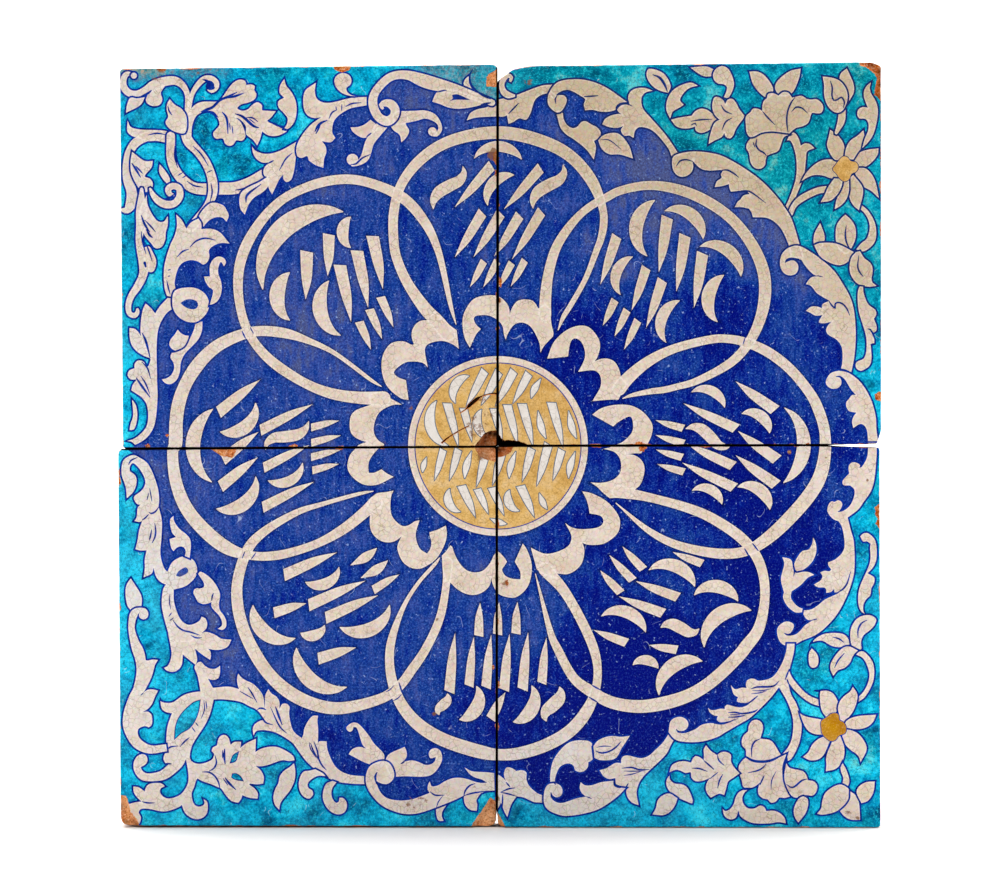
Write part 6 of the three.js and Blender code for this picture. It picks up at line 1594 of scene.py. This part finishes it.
                        # painted shade: the walls deep in a joint are darkened nearly to black
                        v[layers["shade"]] = 0.97
                        if y > -THICKNESS + 6:
                            v.co[axis] += math.copysign(min(swell, abs(off)), off)
                v.co.y = max(v.co.y, y)
                v.co += (middle - v.co).normalized() * inset * Vector((1, 0, 1))
        for face in wall:
            if isinstance(face, bmesh.types.BMFace):
                face.material_index = COLOURS.index("clay")
        rim = [e for e in wall if isinstance(e, bmesh.types.BMEdge) and e.is_boundary]
    back = bmesh.ops.contextual_create(form, geom=rim)["faces"]
    for face in back:
        face.material_index = COLOURS.index("clay")
    bmesh.ops.triangulate(form, faces=back)
    bmesh.ops.recalc_face_normals(form, faces=form.faces)
    bmesh.ops.translate(form, verts=form.verts, vec=(-ORIGIN_X, 0, -ORIGIN_Z))
    bmesh.ops.scale(form, verts=form.verts, vec=(0.001, 0.001, 0.001))
    mesh = bpy.data.meshes.new(name + "_glazed")
    form.to_mesh(mesh)
    form.free()
    for material in MATERIALS.values():
        mesh.materials.append(material)
    piece = bpy.data.objects.new(name + "_glazed", mesh)
    bpy.context.collection.objects.link(piece)
    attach(piece, "root")
    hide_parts(name)
    print(name, len(mesh.polygons), "faces")

# The panel stands in front of a plain pale sweep of paper, lit softly from both sides and above. The paper
# shows its front alone, so that the back of the panel can be seen too.
FLOOR = -0.2945
SWEEP = [(0.8, 0), (1.05, 0.04), (1.27, 0.13), (1.42, 0.3), (1.5, 0.55), (1.52, 0.9), (1.52, 4.3)]
paper = new_material("pale_paper")
front = add(paper, "BsdfDiffuse", {}, "#f4f4f2")
clear = add(paper, "BsdfTransparent", {})
turned = add(paper, "NewGeometry", {}).outputs["Backfacing"]
surface = add(paper, "MixShader", {}, turned, front, clear)
add(paper, "OutputMaterial", {}, surface)
form = bmesh.new()
run = [form.edges.new([form.verts.new((x, -1.6, FLOOR)) for x in (-4, 4)])]
for y, rise in SWEEP:
    grown_on = bmesh.ops.extrude_edge_only(form, edges=run)["geom"]
    ends = [v for v in grown_on if isinstance(v, bmesh.types.BMVert)]
    for v in ends:
        v.co.y, v.co.z = y, FLOOR + rise
    run = [e for e in grown_on if isinstance(e, bmesh.types.BMEdge) and all(v in ends for v in e.verts)]
form.normal_update()
if sum(face.normal.z for face in form.faces) < 0:
    bmesh.ops.reverse_faces(form, faces=form.faces)
for face in form.faces:
    face.smooth = True
sweep_mesh = bpy.data.meshes.new("sweep")
form.to_mesh(sweep_mesh)
form.free()
sweep_mesh.materials.append(paper)
sweep = bpy.data.objects.new("sweep", sweep_mesh)
bpy.context.collection.objects.link(sweep)

# name, place, what it points at, its size and its power
LAMPS = [
    ("left_softbox", (-1.9, -1.5, 1.1), (0, 0, 0), (1.4, 1.4), 25),
    ("right_softbox", (1.9, -1.5, 1.1), (0, 0, 0), (1.4, 1.4), 25),
    ("top_softbox", (0, -1.3, 1.7), (0, -0.4, -0.3), (1.6, 0.8), 9),
    ("back_wash", (0, 0.4, 2.2), (0, 1.5, 0), (4, 1), 130),
]
for name, place, target, size, watts in LAMPS:
    light = bpy.data.lights.new(name, "AREA")
    light.shape = "RECTANGLE"
    light.size, light.size_y = size
    light.energy = watts
    lamp = bpy.data.objects.new(name, light)
    lamp.location = place
    lamp.rotation_euler = (Vector(target) - Vector(place)).to_track_quat("-Z", "Y").to_euler()
    bpy.context.collection.objects.link(lamp)
world = bpy.data.worlds.new("studio")
world.use_nodes = True
world.node_tree.nodes.clear()
seen = add(world, "LightPath", {}).outputs["Is Camera Ray"]
strength = add(world, "MapRange", {}, seen, 0, 1, 0.1, 0.9)
surface = add(world, "Background", {}, "#ffffff", strength)
add(world, "OutputWorld", {}, surface)
bpy.context.scene.world = world
bpy.context.scene.view_settings.view_transform = "Standard"

# The camera looks straight at the panel, as the photograph does.
VIEW_WIDTH = 0.797
LENS = 85
SENSOR = 36
camera_data = bpy.data.cameras.new("camera")
camera_data.lens = LENS
camera_data.sensor_width = SENSOR
camera = bpy.data.objects.new("camera", camera_data)
camera.location = (-0.0076, -0.025 - VIEW_WIDTH * LENS / SENSOR, 0.0104)
camera.rotation_euler = (math.pi / 2, 0, 0)
bpy.context.collection.objects.link(camera)
bpy.context.scene.camera = camera
